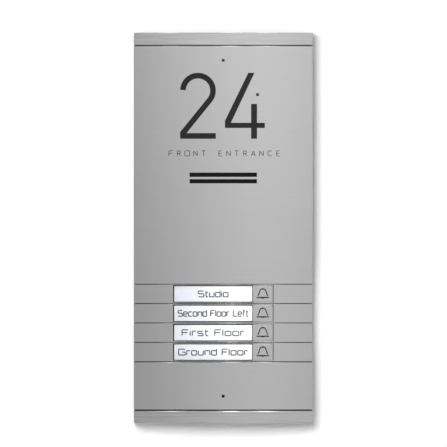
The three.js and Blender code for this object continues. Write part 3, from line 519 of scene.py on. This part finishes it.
STEEL = brushed_steel("brushed_steel_plate", 0.12)
STRIP_STEEL = brushed_steel("brushed_steel_strip", 1.0)
POLISHED = polished_steel()
PRINT_INK = plastic("print_ink", grey(0.006), grey(0.01), 0.5, 0.6, 1500, 0.02)
ENAMEL = plastic("filled_enamel", grey(0.003), grey(0.005), 0.35, 0.45, 1500, 0.02)
SMOKED = plastic("smoked_acrylic", grey(0.012), grey(0.018), 0.2, 0.3, 1500, 0.02)
MATERIALS = {
    "brushed_steel": STEEL,
    "zinc_steel": bright_metal("zinc_plate", (0.50, 0.51, 0.53), (0.62, 0.63, 0.65), 0.28, 0.42),
    "black_plastic": plastic("black_plastic", grey(0.006), grey(0.012), 0.5, 0.65),
    "satin_black": plastic("satin_black", grey(0.002), grey(0.004), 0.30, 0.36, 1500, 0.04, 0.4),
    "rubber": plastic("rubber", grey(0.012), grey(0.02), 0.8, 0.9, 600, 0.2),
    "foam": cellular("foam", 0.03, 2200),
    "clear_acrylic": clear_acrylic(),
    "paper": label_paper(),
    "opal_acrylic": opal_plastic(),
    "circuit_board": circuit_board(),
    "component_black": plastic("component_black", grey(0.014), grey(0.02), 0.4, 0.5, 1400),
    "component_blue": plastic(
        "component_blue", (0.02, 0.10, 0.34), (0.03, 0.13, 0.40), 0.3, 0.4, 1400
    ),
    "capacitor_sleeve": plastic(
        "capacitor_sleeve", (0.015, 0.02, 0.05), (0.02, 0.026, 0.06), 0.25, 0.3
    ),
    "terminal_green": plastic(
        "terminal_green", (0.02, 0.24, 0.07), (0.03, 0.29, 0.09), 0.35, 0.45
    ),
    "ferrite": plastic("ferrite", grey(0.10), grey(0.17), 0.5, 0.65, 500),
    "cone_paper": plastic("cone_paper", grey(0.012), grey(0.025), 0.8, 0.9, 1200, 0.3),
}
NODE_MATERIALS = {
    "speaker_mesh": woven_mesh(),
    "sensor_light_pipe": SMOKED,
    "led_light_pipe": SMOKED,
    "microphone": cellular("microphone_felt", 0.004, 3000),
}

# ---- House number -------------------------------------------------------------------------------

DIGIT_STROKE = 4.2 * MM
DIGIT_BOTTOM = 66.2 * MM
DIGIT_TOP = 115.2 * MM
DIGIT_STEPS = 64  # straight steps round the head of the two
TWO_SLOPE = math.radians(51)
INLAY_RECESS = 0.25 * MM


def digit_two():
    """A round head that runs into a straight slope, on a flat foot."""
    left, right, radius = -32 * MM, -5.5 * MM, 13.25 * MM
    x, z = left + radius, DIGIT_TOP - radius
    inner = radius - DIGIT_STROKE
    leave = TWO_SLOPE - math.pi / 2
    open_end = math.pi - 0.045  # the head ends just short of level with its middle
    foot_top = DIGIT_BOTTOM + DIGIT_STROKE
    outer_end = (x + radius * math.cos(leave), z + radius * math.sin(leave))
    inner_end = (x + inner * math.cos(leave), z + inner * math.sin(leave))
    knee_x = outer_end[0] - (outer_end[1] - foot_top) / math.tan(TWO_SLOPE)
    heel_z = inner_end[1] - (inner_end[0] - left) * math.tan(TWO_SLOPE)
    foot = [
        (knee_x, foot_top),
        (right, foot_top),
        (right, DIGIT_BOTTOM),
        (left, DIGIT_BOTTOM),
        (left, heel_z),
    ]
    head = arc_points(x, z, radius, open_end, leave, DIGIT_STEPS)
    return head + foot + arc_points(x, z, inner, leave, open_end, DIGIT_STEPS)


def digit_four():
    """An open figure whose slope stops short of the upright."""
    bar_low, bar_high = 74.25 * MM, 78.05 * MM
    left, right = 1.3 * MM, 30.9 * MM
    upright_left, upright_right, upright_top = 20.7 * MM, 25.1 * MM, 92.1 * MM
    slope_left, slope_right, slope_foot = 18.6 * MM, 23.2 * MM, 5.7 * MM
    nose_z = 79.6 * MM
    return [
        (slope_left, DIGIT_TOP),
        (slope_right, DIGIT_TOP),
        (slope_foot, bar_high),
        (upright_left, bar_high),
        (upright_left, upright_top),
        (upright_right, upright_top),
        (upright_right, bar_high),
        (right, bar_high),
        (right, bar_low),
        (upright_right, bar_low),
        (upright_right, DIGIT_BOTTOM),
        (upright_left, DIGIT_BOTTOM),
        (upright_left, bar_low),
        (left, bar_low),
        (left, nose_z),
    ]


# ---- Strokes: lettering and bell signs ----------------------------------------------------------

CORNER_STEPS = 4  # straight steps round a softened corner
LINE_SOFTNESS = 0.8 * MM  # radius of the corners in the line under the number
NAME_SOFTNESS = 0.75 * MM
BELL_SOFTNESS = 0.8 * MM
LINE_HEIGHT = 3.9 * MM
LINE_STROKE = 0.46 * MM
NAME_HEIGHT = 4.2 * MM
NAME_STROKE = 0.8 * MM
LETTER_GAP = 0.9  # between the letters of a name, on the letters' grid
LINE_CELL = 2.8  # room for each letter of the line under the number, on the same grid
SHARPEST_MITRE = 0.5  # keeps a stroke's corner from running out to a spike


def rounded(points, radius):
    """A path in x and z with its inner corners rounded off."""
    path = [points[0]]
    for before, corner, after in zip(points, points[1:], points[2:]):
        before, corner, after = Vector(before), Vector(corner), Vector(after)
        reach = min(radius, (before - corner).length / 2, (after - corner).length / 2)
        start = corner + (before - corner).normalized() * reach
        end = corner + (after - corner).normalized() * reach
        for i in range(CORNER_STEPS + 1):
            t = i / CORNER_STEPS
            path.append(tuple(start * (1 - t) ** 2 + corner * 2 * t * (1 - t) + end * t**2))
    return path + [points[-1]]


def ribbon(path, width):
    """Polygons in x and z that cover a stroke of that width along a path."""
    points = [Vector(p) for p in path]
    points = [p for i, p in enumerate(points) if i == 0 or (p - points[i - 1]).length > MERGE]
    directions = [(b - a).normalized() for a, b in zip(points, points[1:])]
    sides = []
    for i, p in enumerate(points):
        before = directions[max(i - 1, 0)]
        after = directions[min(i, len(directions) - 1)]
        along = (before + after).normalized()
        reach = width / 2 / max(SHARPEST_MITRE, along.dot(after))
        across = Vector((-along.y, along.x)) * reach
        sides.append((p + across, p - across))
    pairs = zip(sides, sides[1:])
    return [[tuple(a[0]), tuple(b[0]), tuple(b[1]), tuple(a[1])] for a, b in pairs]


# Letters on a grid: each has its width and its strokes, with the capitals 4 high and the others 3.
GLYPHS = {
    " ": (1.2, []),
    "A": (3.0, [[(0, 0), (1.5, 4), (3, 0)], [(0.55, 1.3), (2.45, 1.3)]]),
    "C": (3.0, [[(3, 0.5), (2.2, 0), (0.9, 0), (0, 1), (0, 3), (0.9, 4), (2.2, 4), (3, 3.5)]]),
    "E": (2.2, [[(2.2, 4), (0, 4), (0, 0), (2.2, 0)], [(0, 2.1), (2, 2.1)]]),
    "F": (2.8, [[(2.8, 4), (0, 4), (0, 0)], [(0, 2.1), (2.4, 2.1)]]),
    "G": (3.4, [[(3.4, 4), (0, 4), (0, 0), (3.4, 0), (3.4, 2), (1.9, 2)]]),
    "L": (2.6, [[(0, 4), (0, 0), (2.6, 0)]]),
    "N": (2.8, [[(0, 0), (0, 4), (2.8, 0), (2.8, 4)]]),
    "O": (3.6, [[(1.8, 4), (0, 4), (0, 0), (1.8, 0)], [(1.8, 0), (3.6, 0), (3.6, 4), (1.8, 4)]]),
    "R": (2.4, [[(0, 0), (0, 4), (2.2, 4), (2.2, 2), (0, 2)], [(1.2, 2), (2.4, 0)]]),
    "S": (3.2, [[(0, 0), (3.2, 0), (3.2, 2.1), (0, 2.1), (0, 4), (3.1, 4)]]),
    "T": (2.8, [[(0, 4), (2.8, 4)], [(1.4, 4), (1.4, 0)]]),
    "c": (2.5, [[(2.5, 0), (0, 0), (0, 3), (2.5, 3)]]),
    "d": (2.6, [[(2.6, 3), (0, 3), (0, 0), (2.6, 0)], [(2.6, 0), (2.6, 4.2)]]),
    "e": (2.6, [[(2.6, 0), (0, 0), (0, 3), (2.6, 3), (2.6, 1.5), (0, 1.5)]]),
    "f": (1.5, [[(0.4, 0), (0.4, 4.2), (1.5, 4.2)], [(0, 3), (1.4, 3)]]),
    "i": (0.1, [[(0, 0), (0, 3)], [(0, 3.9), (0, 4.3)]]),
    "l": (0.1, [[(0, 0), (0, 4.2)]]),
    "n": (2.6, [[(0, 0), (0, 3)], [(0, 3), (2.6, 3), (2.6, 0)]]),
    "o": (2.7, [[(1.3, 3), (0, 3), (0, 0), (1.3, 0)], [(1.3, 0), (2.7, 0), (2.7, 3), (1.3, 3)]]),
    "r": (1.6, [[(0, 0), (0, 3)], [(0, 3), (1.6, 3)]]),
    "s": (2.4, [[(0, 0), (2.4, 0), (2.4, 1.5), (0, 1.5), (0, 3), (2.3, 3)]]),
    "t": (1.5, [[(0.4, 4), (0.4, 0), (1.5, 0)], [(0, 3), (1.4, 3)]]),
    "u": (2.6, [[(0, 3), (0, 0), (2.6, 0), (2.6, 3)]]),
}
CAPITAL = 4  # grid height of a capital


def letter_strokes(letter, x, z, scale_x, scale_z, softness, width):
    """Ribbons for a letter whose lower left corner is at x and z."""
    polygons = []
    for stroke in GLYPHS[letter][1]:
        path = [(x + u * scale_x, z + v * scale_z) for u, v in stroke]
        polygons += ribbon(rounded(path, softness), width)
    return polygons


def spaced_line(text, first_x, last_x, z, height, width):
    """Letters at an even pitch, from the left of the first to the right of the last."""
    scale = height / CAPITAL
    cell = LINE_CELL * scale
    pitch = (last_x - first_x - cell) / (len(text) - 1)
    polygons = []
    for i, letter in enumerate(text):
        x = first_x + i * pitch + (cell - GLYPHS[letter][0] * scale) / 2
        polygons += letter_strokes(letter, x, z, scale, scale, LINE_SOFTNESS, width)
    return polygons


def fitted_line(text, centre_x, z, length, height, width):
    """Letters one after another, stretched sideways to a given length."""
    natural = sum(GLYPHS[letter][0] for letter in text) + LETTER_GAP * (len(text) - 1)
    scale_x, scale_z = length / natural, height / CAPITAL
    x = centre_x - length / 2
    polygons = []
    for letter in text:
        polygons += letter_strokes(letter, x, z, scale_x, scale_z, NAME_SOFTNESS, width)
        x += (GLYPHS[letter][0] + LETTER_GAP) * scale_x
    return polygons


def make_marks(name, polygons, surface_radius, material, body):
    """Ink or enamel that stands a hair proud of the surface it is on."""
    obj = curved_pads(name, polygons, surface_radius + MARK_PROUD, surface_radius - MARK_DEPTH)
    paint(obj, material)
    register(obj, body, "satin_black")


def bell_sign(x, z):
    """A bell in outline over a bar, with its clapper below, in millimetres from x and z."""
    flare = [(-3.8, -1.4), (-3.2, -0.7)]
    flank = [(-2.65, 1.0), (-2.1, 2.6)]
    shoulder = [(-1.75, 3.2), (-1.2, 3.55)]
    left = flare + flank + shoulder
    dome = left + [(0, 3.65)] + [(-u, v) for u, v in reversed(left)]
    knob = [(0, 3.6), (0, 4.25)]
    bar = [(-4.65, -2.6), (4.65, -2.6)]
    clapper = [(-1.3, -2.75), (-0.6, -3.15), (0.6, -3.15), (1.3, -2.75)]
    strokes = [(dome, 0.8), (knob, 1.5), (bar, 0.9), (clapper, 0.6)]
    polygons = []
    for points, width in strokes:
        path = [(x + u * MM, z + v * MM) for u, v in points]
        polygons += ribbon(rounded(path, BELL_SOFTNESS), width * MM)
    return polygons


# ---- Front pieces -------------------------------------------------------------------------------


def shell(name, z0, z1):
    """The curved face of a front piece with a flange folded back along each side."""
    outer = front_arc(FRONT_RADIUS, -HALF_WIDTH, HALF_WIDTH)
    reach = HALF_WIDTH - SHEET
    inner = front_arc(FRONT_RADIUS - SHEET, -reach, reach, len(outer) - 1)
    outer = [(-HALF_WIDTH, REAR_Y)] + outer + [(HALF_WIDTH, REAR_Y)]
    inner = [(-reach, REAR_Y)] + inner + [(reach, REAR_Y)]
    bm = bmesh.new()
    lines = [[bm.verts.new((x, y, z)) for x, y in line] for line in (outer, inner) for z in (z0, z1)]
    outer_low, outer_high, inner_low, inner_high = lines
    front, back = (outer_low, outer_high), (inner_low, inner_high)
    underside, top = (outer_low, inner_low), (outer_high, inner_high)
    for i in range(len(outer) - 1):
        for a, b in (front, back, underside, top):
            bm.faces.new((a[i], a[i + 1], b[i + 1], b[i]))
    for end in (0, -1):
        bm.faces.new((outer_low[end], outer_high[end], inner_high[end], inner_low[end]))
    return new_object(name, bm)


def finish_steel(obj, body, node, steel):
    unwrap_level(obj)
    paint(obj, steel, POLISHED)
    register(obj, body, "brushed_steel", node)


def make_plate(node, holes):
    """A plate with polished seam edges and crisp holes."""
    obj = shell(f"{node}_face", *span(node, "z"))
    paint(obj, STEEL, POLISHED)
    bevel(obj, SEAM_POLISH, lower_share=0.3)
    boolean(obj, cutter(holes))
    finish_steel(obj, "front_unit", node, STEEL)


def make_end_strip(node, outward):
    """A low shell closed by a wall at its outer end. outward is 1 at the top, -1 at the bottom."""
    z0, z1 = span(node, "z")
    outline = curved_block_outline(FRONT_RADIUS, -HALF_WIDTH, HALF_WIDTH, REAR_Y)
    obj = prism_along_z(f"{node}_face", outline, z0, z1)
    paint(obj, STRIP_STEEL, POLISHED)
    if outward < 0:
        chamfer_front_edge(obj, z1, LOWER_CHAMFER)
    reach = HALF_WIDTH - SHEET
    pocket = curved_block_outline(FRONT_RADIUS - SHEET, -reach, reach, REAR_Y + SHEET)
    boolean(obj, prism_along_z("pocket", pocket, z0 - outward * SHEET, z1 - outward * SHEET))
    if outward < 0:
        for side in ("left", "right"):
            boolean(obj, screw_hole(f"lock_screw_{side}"))
    bevel(obj, EASE, 2, lower_share=0.5)
    finish_steel(obj, "front_unit", node, STRIP_STEEL)


def screw_hole(node):
    """A round cutter along z, a little wider than the screw in it."""
    low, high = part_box(node)
    centre = (low + high) / 2
    radius = (high.x - low.x) / 2 + SCREW_PLAY
    sides = 32
    last_corner = 2 * math.pi * (sides - 1) / sides
    outline = arc_points(centre.x, centre.y, radius, 0, last_corner, sides - 1)
    return prism_along_z("screw_hole", outline, low.z - MM, low.z + SHEET + MM)


def make_number():
    polygons = [digit_two(), digit_four()]
    face_radius = CAD_RADIUS - INLAY_RECESS
    inlay = curved_pads("number_inlay_face", polygons, face_radius, CAD_RADIUS - SHEET)
    paint(inlay, MATERIALS["satin_black"])
    register(inlay, "front_unit", "satin_black", "number_inlay")
    left, right, z = -40.4 * MM, 42.1 * MM, 53.4 * MM
    line = spaced_line("FRONT ENTRANCE", left, right, z, LINE_HEIGHT, LINE_STROKE)
    make_marks("entrance_line", line, FRONT_RADIUS, PRINT_INK, "front_unit")


def make_front_plates():
    slots = [rectangle(-SLOT_HALF_WIDTH, SLOT_HALF_WIDTH, *z) for z in SLOT_SPANS_Z]
    ports = [square(middle(node), PORT_SIZE) for node in ("sensor_light_pipe", "led_light_pipe")]
    make_plate("main_plate", [digit_two(), digit_four()] + slots + ports)
    make_plate("lower_plate", [square(middle("microphone"), PORT_SIZE)])
    make_end_strip("top_end_strip", 1)
    make_end_strip("bottom_end_strip", -1)


# ---- Rows ---------------------------------------------------------------------------------------

# The name in each row, and its length in millimetres
NAMES = {
    1: ("Studio", 22),
    2: ("Second Floor Left", 52),
    3: ("First Floor", 46),
    4: ("Ground Floor", 51),
}
BELL_X = 29.4 * MM


def make_bar(row):
    node = f"row_bar_{row}"
    z = middle(node).z
    obj = shell(f"{node}_face", *span(node, "z"))
    paint(obj, STEEL, POLISHED)
    cutout = rectangle(*CUTOUT_X, z - CUTOUT_HALF_HEIGHT, z + CUTOUT_HALF_HEIGHT)
    boolean(obj, cutter([cutout]))
    bevel(obj, CUTOUT_POLISH, 2)
    finish_steel(obj, "front_unit", node, STEEL)


def make_button(row):
    """The cap with its polished edge, joined to the flange behind the bar, and the enamelled bell."""
    node = f"bell_button_{row}"
    low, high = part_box(node)
    z = (low.z + high.z) / 2
    z0, z1 = z - CAP_HALF_HEIGHT, z + CAP_HALF_HEIGHT
    cap_outline = curved_block_outline(FRONT_RADIUS, low.x, low.x + CAP_WIDTH, CAP_BACK_Y)
    cap = prism_along_z(f"button_{row}_cap", cap_outline, z0, z1)
    paint(cap, STEEL, POLISHED)
    bevel(cap, CUTOUT_POLISH)
    flange_radius = CAD_RADIUS - SHEET - GAP
    flange = curved_block_outline(flange_radius, low.x, high.x, CAP_BACK_Y)
    boolean(cap, prism_along_z("flange", flange, low.z, high.z), "UNION")
    finish_steel(cap, f"button_{row}", node, STEEL)
    make_marks(f"bell_sign_{row}", bell_sign(BELL_X, z), FRONT_RADIUS, ENAMEL, f"button_{row}")


def make_card(row):
    node = f"name_card_{row}"
    (x0, x1), (z0, z1) = span(node, "x"), span(node, "z")
    outline = curved_sheet_outline(CARD_RADIUS, CARD_RADIUS - CARD_THICKNESS, x0, x1)
    card = prism_along_z(f"{node}_sheet", outline, z0, z1)
    paint(card, MATERIALS["paper"])
    register(card, "front_unit", "paper", node)


def make_window(row):
    """The clear pane, and the name printed on the card behind it."""
    node = f"name_window_{row}"
    (x0, x1), (z0, z1) = span(node, "x"), span(node, "z")
    front = CAD_RADIUS - WINDOW_RECESS
    outline = curved_sheet_outline(front, front - WINDOW_THICKNESS, x0, x1)
    pane = prism_along_z(f"{node}_pane", outline, z0, z1)
    bevel(pane, EASE, 2, material=0)
    paint(pane, MATERIALS["clear_acrylic"])
    register(pane, "front_unit", "clear_acrylic", node)
    foot_z = (z0 + z1) / 2 - NAME_HEIGHT / 2
    text, length = NAMES[row]
    line = fitted_line(text, (x0 + x1) / 2, foot_z, length * MM, NAME_HEIGHT, NAME_STROKE)
    make_marks(f"name_{row}", line, CARD_RADIUS, PRINT_INK, "front_unit")


make_front_plates()
make_number()
for row in ROWS:
    make_bar(row)
    make_button(row)
    make_card(row)
    make_window(row)

# ---- CAD nodes that stay ------------------------------------------------------------------------

CAD_SHARP_ANGLE = math.radians(32)


def smooth_by_angle():
    """A node group that smooths a mesh except at corners."""
    group = bpy.data.node_groups.new("smooth_by_angle", "GeometryNodeTree")
    group.interface.new_socket("Geometry", in_out="INPUT", socket_type="NodeSocketGeometry")
    group.interface.new_socket("Geometry", in_out="OUTPUT", socket_type="NodeSocketGeometry")
    source = group.nodes.new("NodeGroupInput")
    result = group.nodes.new("NodeGroupOutput")
    faces = group.nodes.new("GeometryNodeSetShadeSmooth")
    faces.domain = "FACE"
    edges = group.nodes.new("GeometryNodeSetShadeSmooth")
    edges.domain = "EDGE"
    angle = group.nodes.new("GeometryNodeInputMeshEdgeAngle")
    shallow = group.nodes.new("FunctionNodeCompare")
    shallow.operation = "LESS_THAN"
    shallow.inputs["B"].default_value = CAD_SHARP_ANGLE
    group.links.new(angle.outputs["Unsigned Angle"], shallow.inputs["A"])
    group.links.new(source.outputs[0], faces.inputs["Geometry"])
    group.links.new(faces.outputs[0], edges.inputs["Geometry"])
    group.links.new(shallow.outputs["Result"], edges.inputs["Shade Smooth"])
    group.links.new(edges.outputs[0], result.inputs[0])
    return group


def dress_cad_nodes():
    smooth = smooth_by_angle()
    slots = {part["node"]: part["material_slot"] for part in frame["record"]["subparts"]}
    for name, node in frame["nodes"].items():
        paint(node, NODE_MATERIALS.get(name, MATERIALS[slots[name]]))
        node.modifiers.new("smooth", "NODES").node_group = smooth


dress_cad_nodes()

# ---- Stage, lights and camera -------------------------------------------------------------------

FLOOR_Z = -0.31
FLOOR_REACH = 2.5
WALL_Y = 0.5 * MM  # just behind the back of the panel
WALL_REACH = 2.0
WALL_LAP = 0.3 * MM  # how far the wall runs in behind the panel's edge
PAINTED_SHADOW_LAP = 4.4 * MM  # how far the dark sheet of painted shadow runs in: up to the back tray
STRIP_DISTANCE = 1.2
STRIP_Z = 1.6
STRIP_LENGTH = 2.0


def stage_material(name, value):
    made = Material(name).set(Specular_IOR_Level=0.0)
    cloud = made.noise((2, 2, 2))
    made.colour(cloud, grey(value), grey(value + 0.005))
    return made.roughness(cloud, 0.85, 0.9)


def one_sided(name, value):
    """A stage material that is clear from behind, so that the back of the object can be seen."""
    made = stage_material(name, value)
    geometry = made.add("ShaderNodeNewGeometry")
    clear = made.add("ShaderNodeBsdfTransparent")
    mix = made.add("ShaderNodeMixShader")
    made.link(geometry.outputs["Backfacing"], mix.inputs[0])
    made.link(made.shader.outputs["BSDF"], mix.inputs[1])
    made.link(clear.outputs["BSDF"], mix.inputs[2])
    made.link(mix.outputs["Shader"], made.nodes["Material Output"].inputs["Surface"])
    return made.material


def inside_panel(margin):
    """The panel's outline drawn in by a margin."""
    x0, x1 = CAD_LOW.x + margin, CAD_HIGH.x - margin
    return rectangle(x0, x1, CAD_LOW.z + margin, CAD_HIGH.z - margin)


def stage_frame(name, y, outside, inside, material):
    """A flat frame of the stage that faces the camera."""
    bm = bmesh.new()
    outer = [bm.verts.new((x, y, z)) for x, z in outside]
    inner = [bm.verts.new((x, y, z)) for x, z in inside]
    add_sides(bm, outer, inner)
    frame_object = new_object(name, bm)
    if frame_object.data.polygons[0].normal.y > 0:
        frame_object.data.flip_normals()
    paint(frame_object, material)


def make_wall():
    """A pale wall round the panel, with a dark sheet of painted shadow behind its edge that the seams
    look into.
    """
    outside = rectangle(-WALL_REACH, WALL_REACH, FLOOR_Z, WALL_REACH)
    edge = inside_panel(WALL_LAP)
    stage_frame("stage_wall", WALL_Y, outside, edge, one_sided("stage_wall", 0.88))
    # a near-black flat sheet just behind the wall: painted shadow for the gap behind the panel's edge
    painted_shadow_y = WALL_Y + 0.5 * MM
    dark = one_sided("stage_painted_shadow", 0.01)
    stage_frame("stage_painted_shadow", painted_shadow_y, edge, inside_panel(PAINTED_SHADOW_LAP), dark)


def make_floor():
    outline = rectangle(-FLOOR_REACH, FLOOR_REACH, -FLOOR_REACH, FLOOR_REACH)
    bm = bmesh.new()
    bm.faces.new([bm.verts.new((x, y, FLOOR_Z)) for x, y in outline])
    floor = new_object("stage_floor", bm)
    paint(floor, stage_material("stage_floor", 0.8).material)
    floor.visible_glossy = False  # the lit floor would shine in the lower half of the steel


def softbox(
    name, position, size, radiance, target=(0, 0, 0), diffuse=True, glossy=True, spread=180
):
    """An area light of a given brightness, and which kinds of surface it lights."""
    data = bpy.data.lights.new(name, "AREA")
    data.shape = "RECTANGLE"
    data.size, data.size_y = size
    data.energy = radiance * math.pi * size[0] * size[1]
    data.spread = math.radians(spread)
    light = bpy.data.objects.new(name, data)
    light.location = position
    light.rotation_euler = (Vector(target) - Vector(position)).to_track_quat("-Z", "Y").to_euler()
    light.visible_diffuse = diffuse
    light.visible_glossy = glossy
    light.visible_transmission = False
    light.visible_camera = False
    bpy.context.scene.collection.objects.link(light)


def strip(name, azimuth, width, radiance):
    """A narrow softbox high in front of the panel, for the glints along the polished edges."""
    angle = math.radians(azimuth)
    x, y = STRIP_DISTANCE * math.sin(angle), -STRIP_DISTANCE * math.cos(angle)
    size, target = (width, STRIP_LENGTH), (0, 0, STRIP_Z)
    softbox(name, (x, y, STRIP_Z), size, radiance, target=target, diffuse=False)


def make_world():
    """A pale surround: brightest a little right of the middle, and darker above and below."""
    world = bpy.data.worlds.new("studio")
    world.use_nodes = True
    nodes, links = world.node_tree.nodes, world.node_tree.links
    coordinates = nodes.new("ShaderNodeTexCoord")
    separate = nodes.new("ShaderNodeSeparateXYZ")
    links.new(coordinates.outputs["Generated"], separate.inputs["Vector"])

    def ramp(axis, stops):
        """Brightness along an axis of the view's direction, from pairs of place and value."""
        shift = nodes.new("ShaderNodeMapRange")
        shift.inputs["From Min"].default_value = -1
        node = nodes.new("ShaderNodeValToRGB")
        elements = node.color_ramp.elements
        while len(elements) < len(stops):
            elements.new(0.5)
        for element, (position, value) in zip(elements, stops):
            element.position = (position + 1) / 2
            element.color = (*grey(value), 1)
        links.new(separate.outputs[axis], shift.inputs["Value"])
        links.new(shift.outputs["Result"], node.inputs["Fac"])
        return node.outputs["Color"]

    left = [(-1, 0.28), (-0.5, 0.44), (0, 0.7)]
    right = [(0.2, 0.86), (0.35, 0.77), (0.5, 0.55), (1, 0.3)]
    across = ramp("X", left + right)
    upright = ramp("Z", [(-1, 0.3), (-0.6, 0.45), (-0.3, 1), (0.3, 1), (0.6, 0.5), (1, 0.4)])
    product = nodes.new("ShaderNodeMix")
    product.data_type = "RGBA"
    product.blend_type = "MULTIPLY"
    colours = [socket for socket in product.inputs if socket.type == "RGBA"]
    product.inputs["Factor"].default_value = 1
    links.new(across, colours[0])
    links.new(upright, colours[1])
    output = next(socket for socket in product.outputs if socket.type == "RGBA")
    links.new(output, nodes["Background"].inputs["Color"])
    bpy.context.scene.world = world


def make_camera():
    """A long lens straight in front, that takes in a given width at the curved face."""
    lens, sensor, picture_width = 1500.0, 36.0, 332.0 * MM
    x, face_y, z = 0.2 * MM, -24 * MM, 3.3 * MM
    data = bpy.data.cameras.new("camera")
    data.lens = lens
    data.sensor_width = sensor
    data.clip_start, data.clip_end = 0.05, 30
    camera = bpy.data.objects.new("camera", data)
    distance = picture_width * lens / sensor
    camera.location = (x, face_y - distance, z)
    camera.rotation_euler = (math.pi / 2, 0, 0)
    bpy.context.scene.collection.objects.link(camera)
    bpy.context.scene.camera = camera


make_wall()
make_floor()
make_world()
softbox("key", (-0.4, -2.4, 0.45), (0.8, 0.8), 24.0, glossy=False)
softbox("upper_fill", (0.1, -1.0, 0.5), (1.6, 0.9), 0.3, target=(0.1, 0, 0.5), diffuse=False)
softbox(
    "upper_right_fill",
    (0.75, -1.0, 0.48),
    (0.6, 0.9),
    0.85,
    target=(0.75, 0, 0.48),
    diffuse=False,
)
softbox(
    "label_glow",
    (0.04, -0.6, -0.03),
    (0.04, 0.04),
    3.2,
    target=(0.012, 0, -0.07),
    glossy=False,
    spread=13,
)
strip("strip_left", -21, 0.07, 3.0)
strip("strip_middle", 3, 0.07, 5.0)
strip("strip_right", 17, 0.11, 3.0)
softbox("back_fill", (-0.6, 1.6, 0.8), (1.2, 1.2), 1.5)
make_camera()
bpy.context.scene.view_settings.view_transform = "Standard"
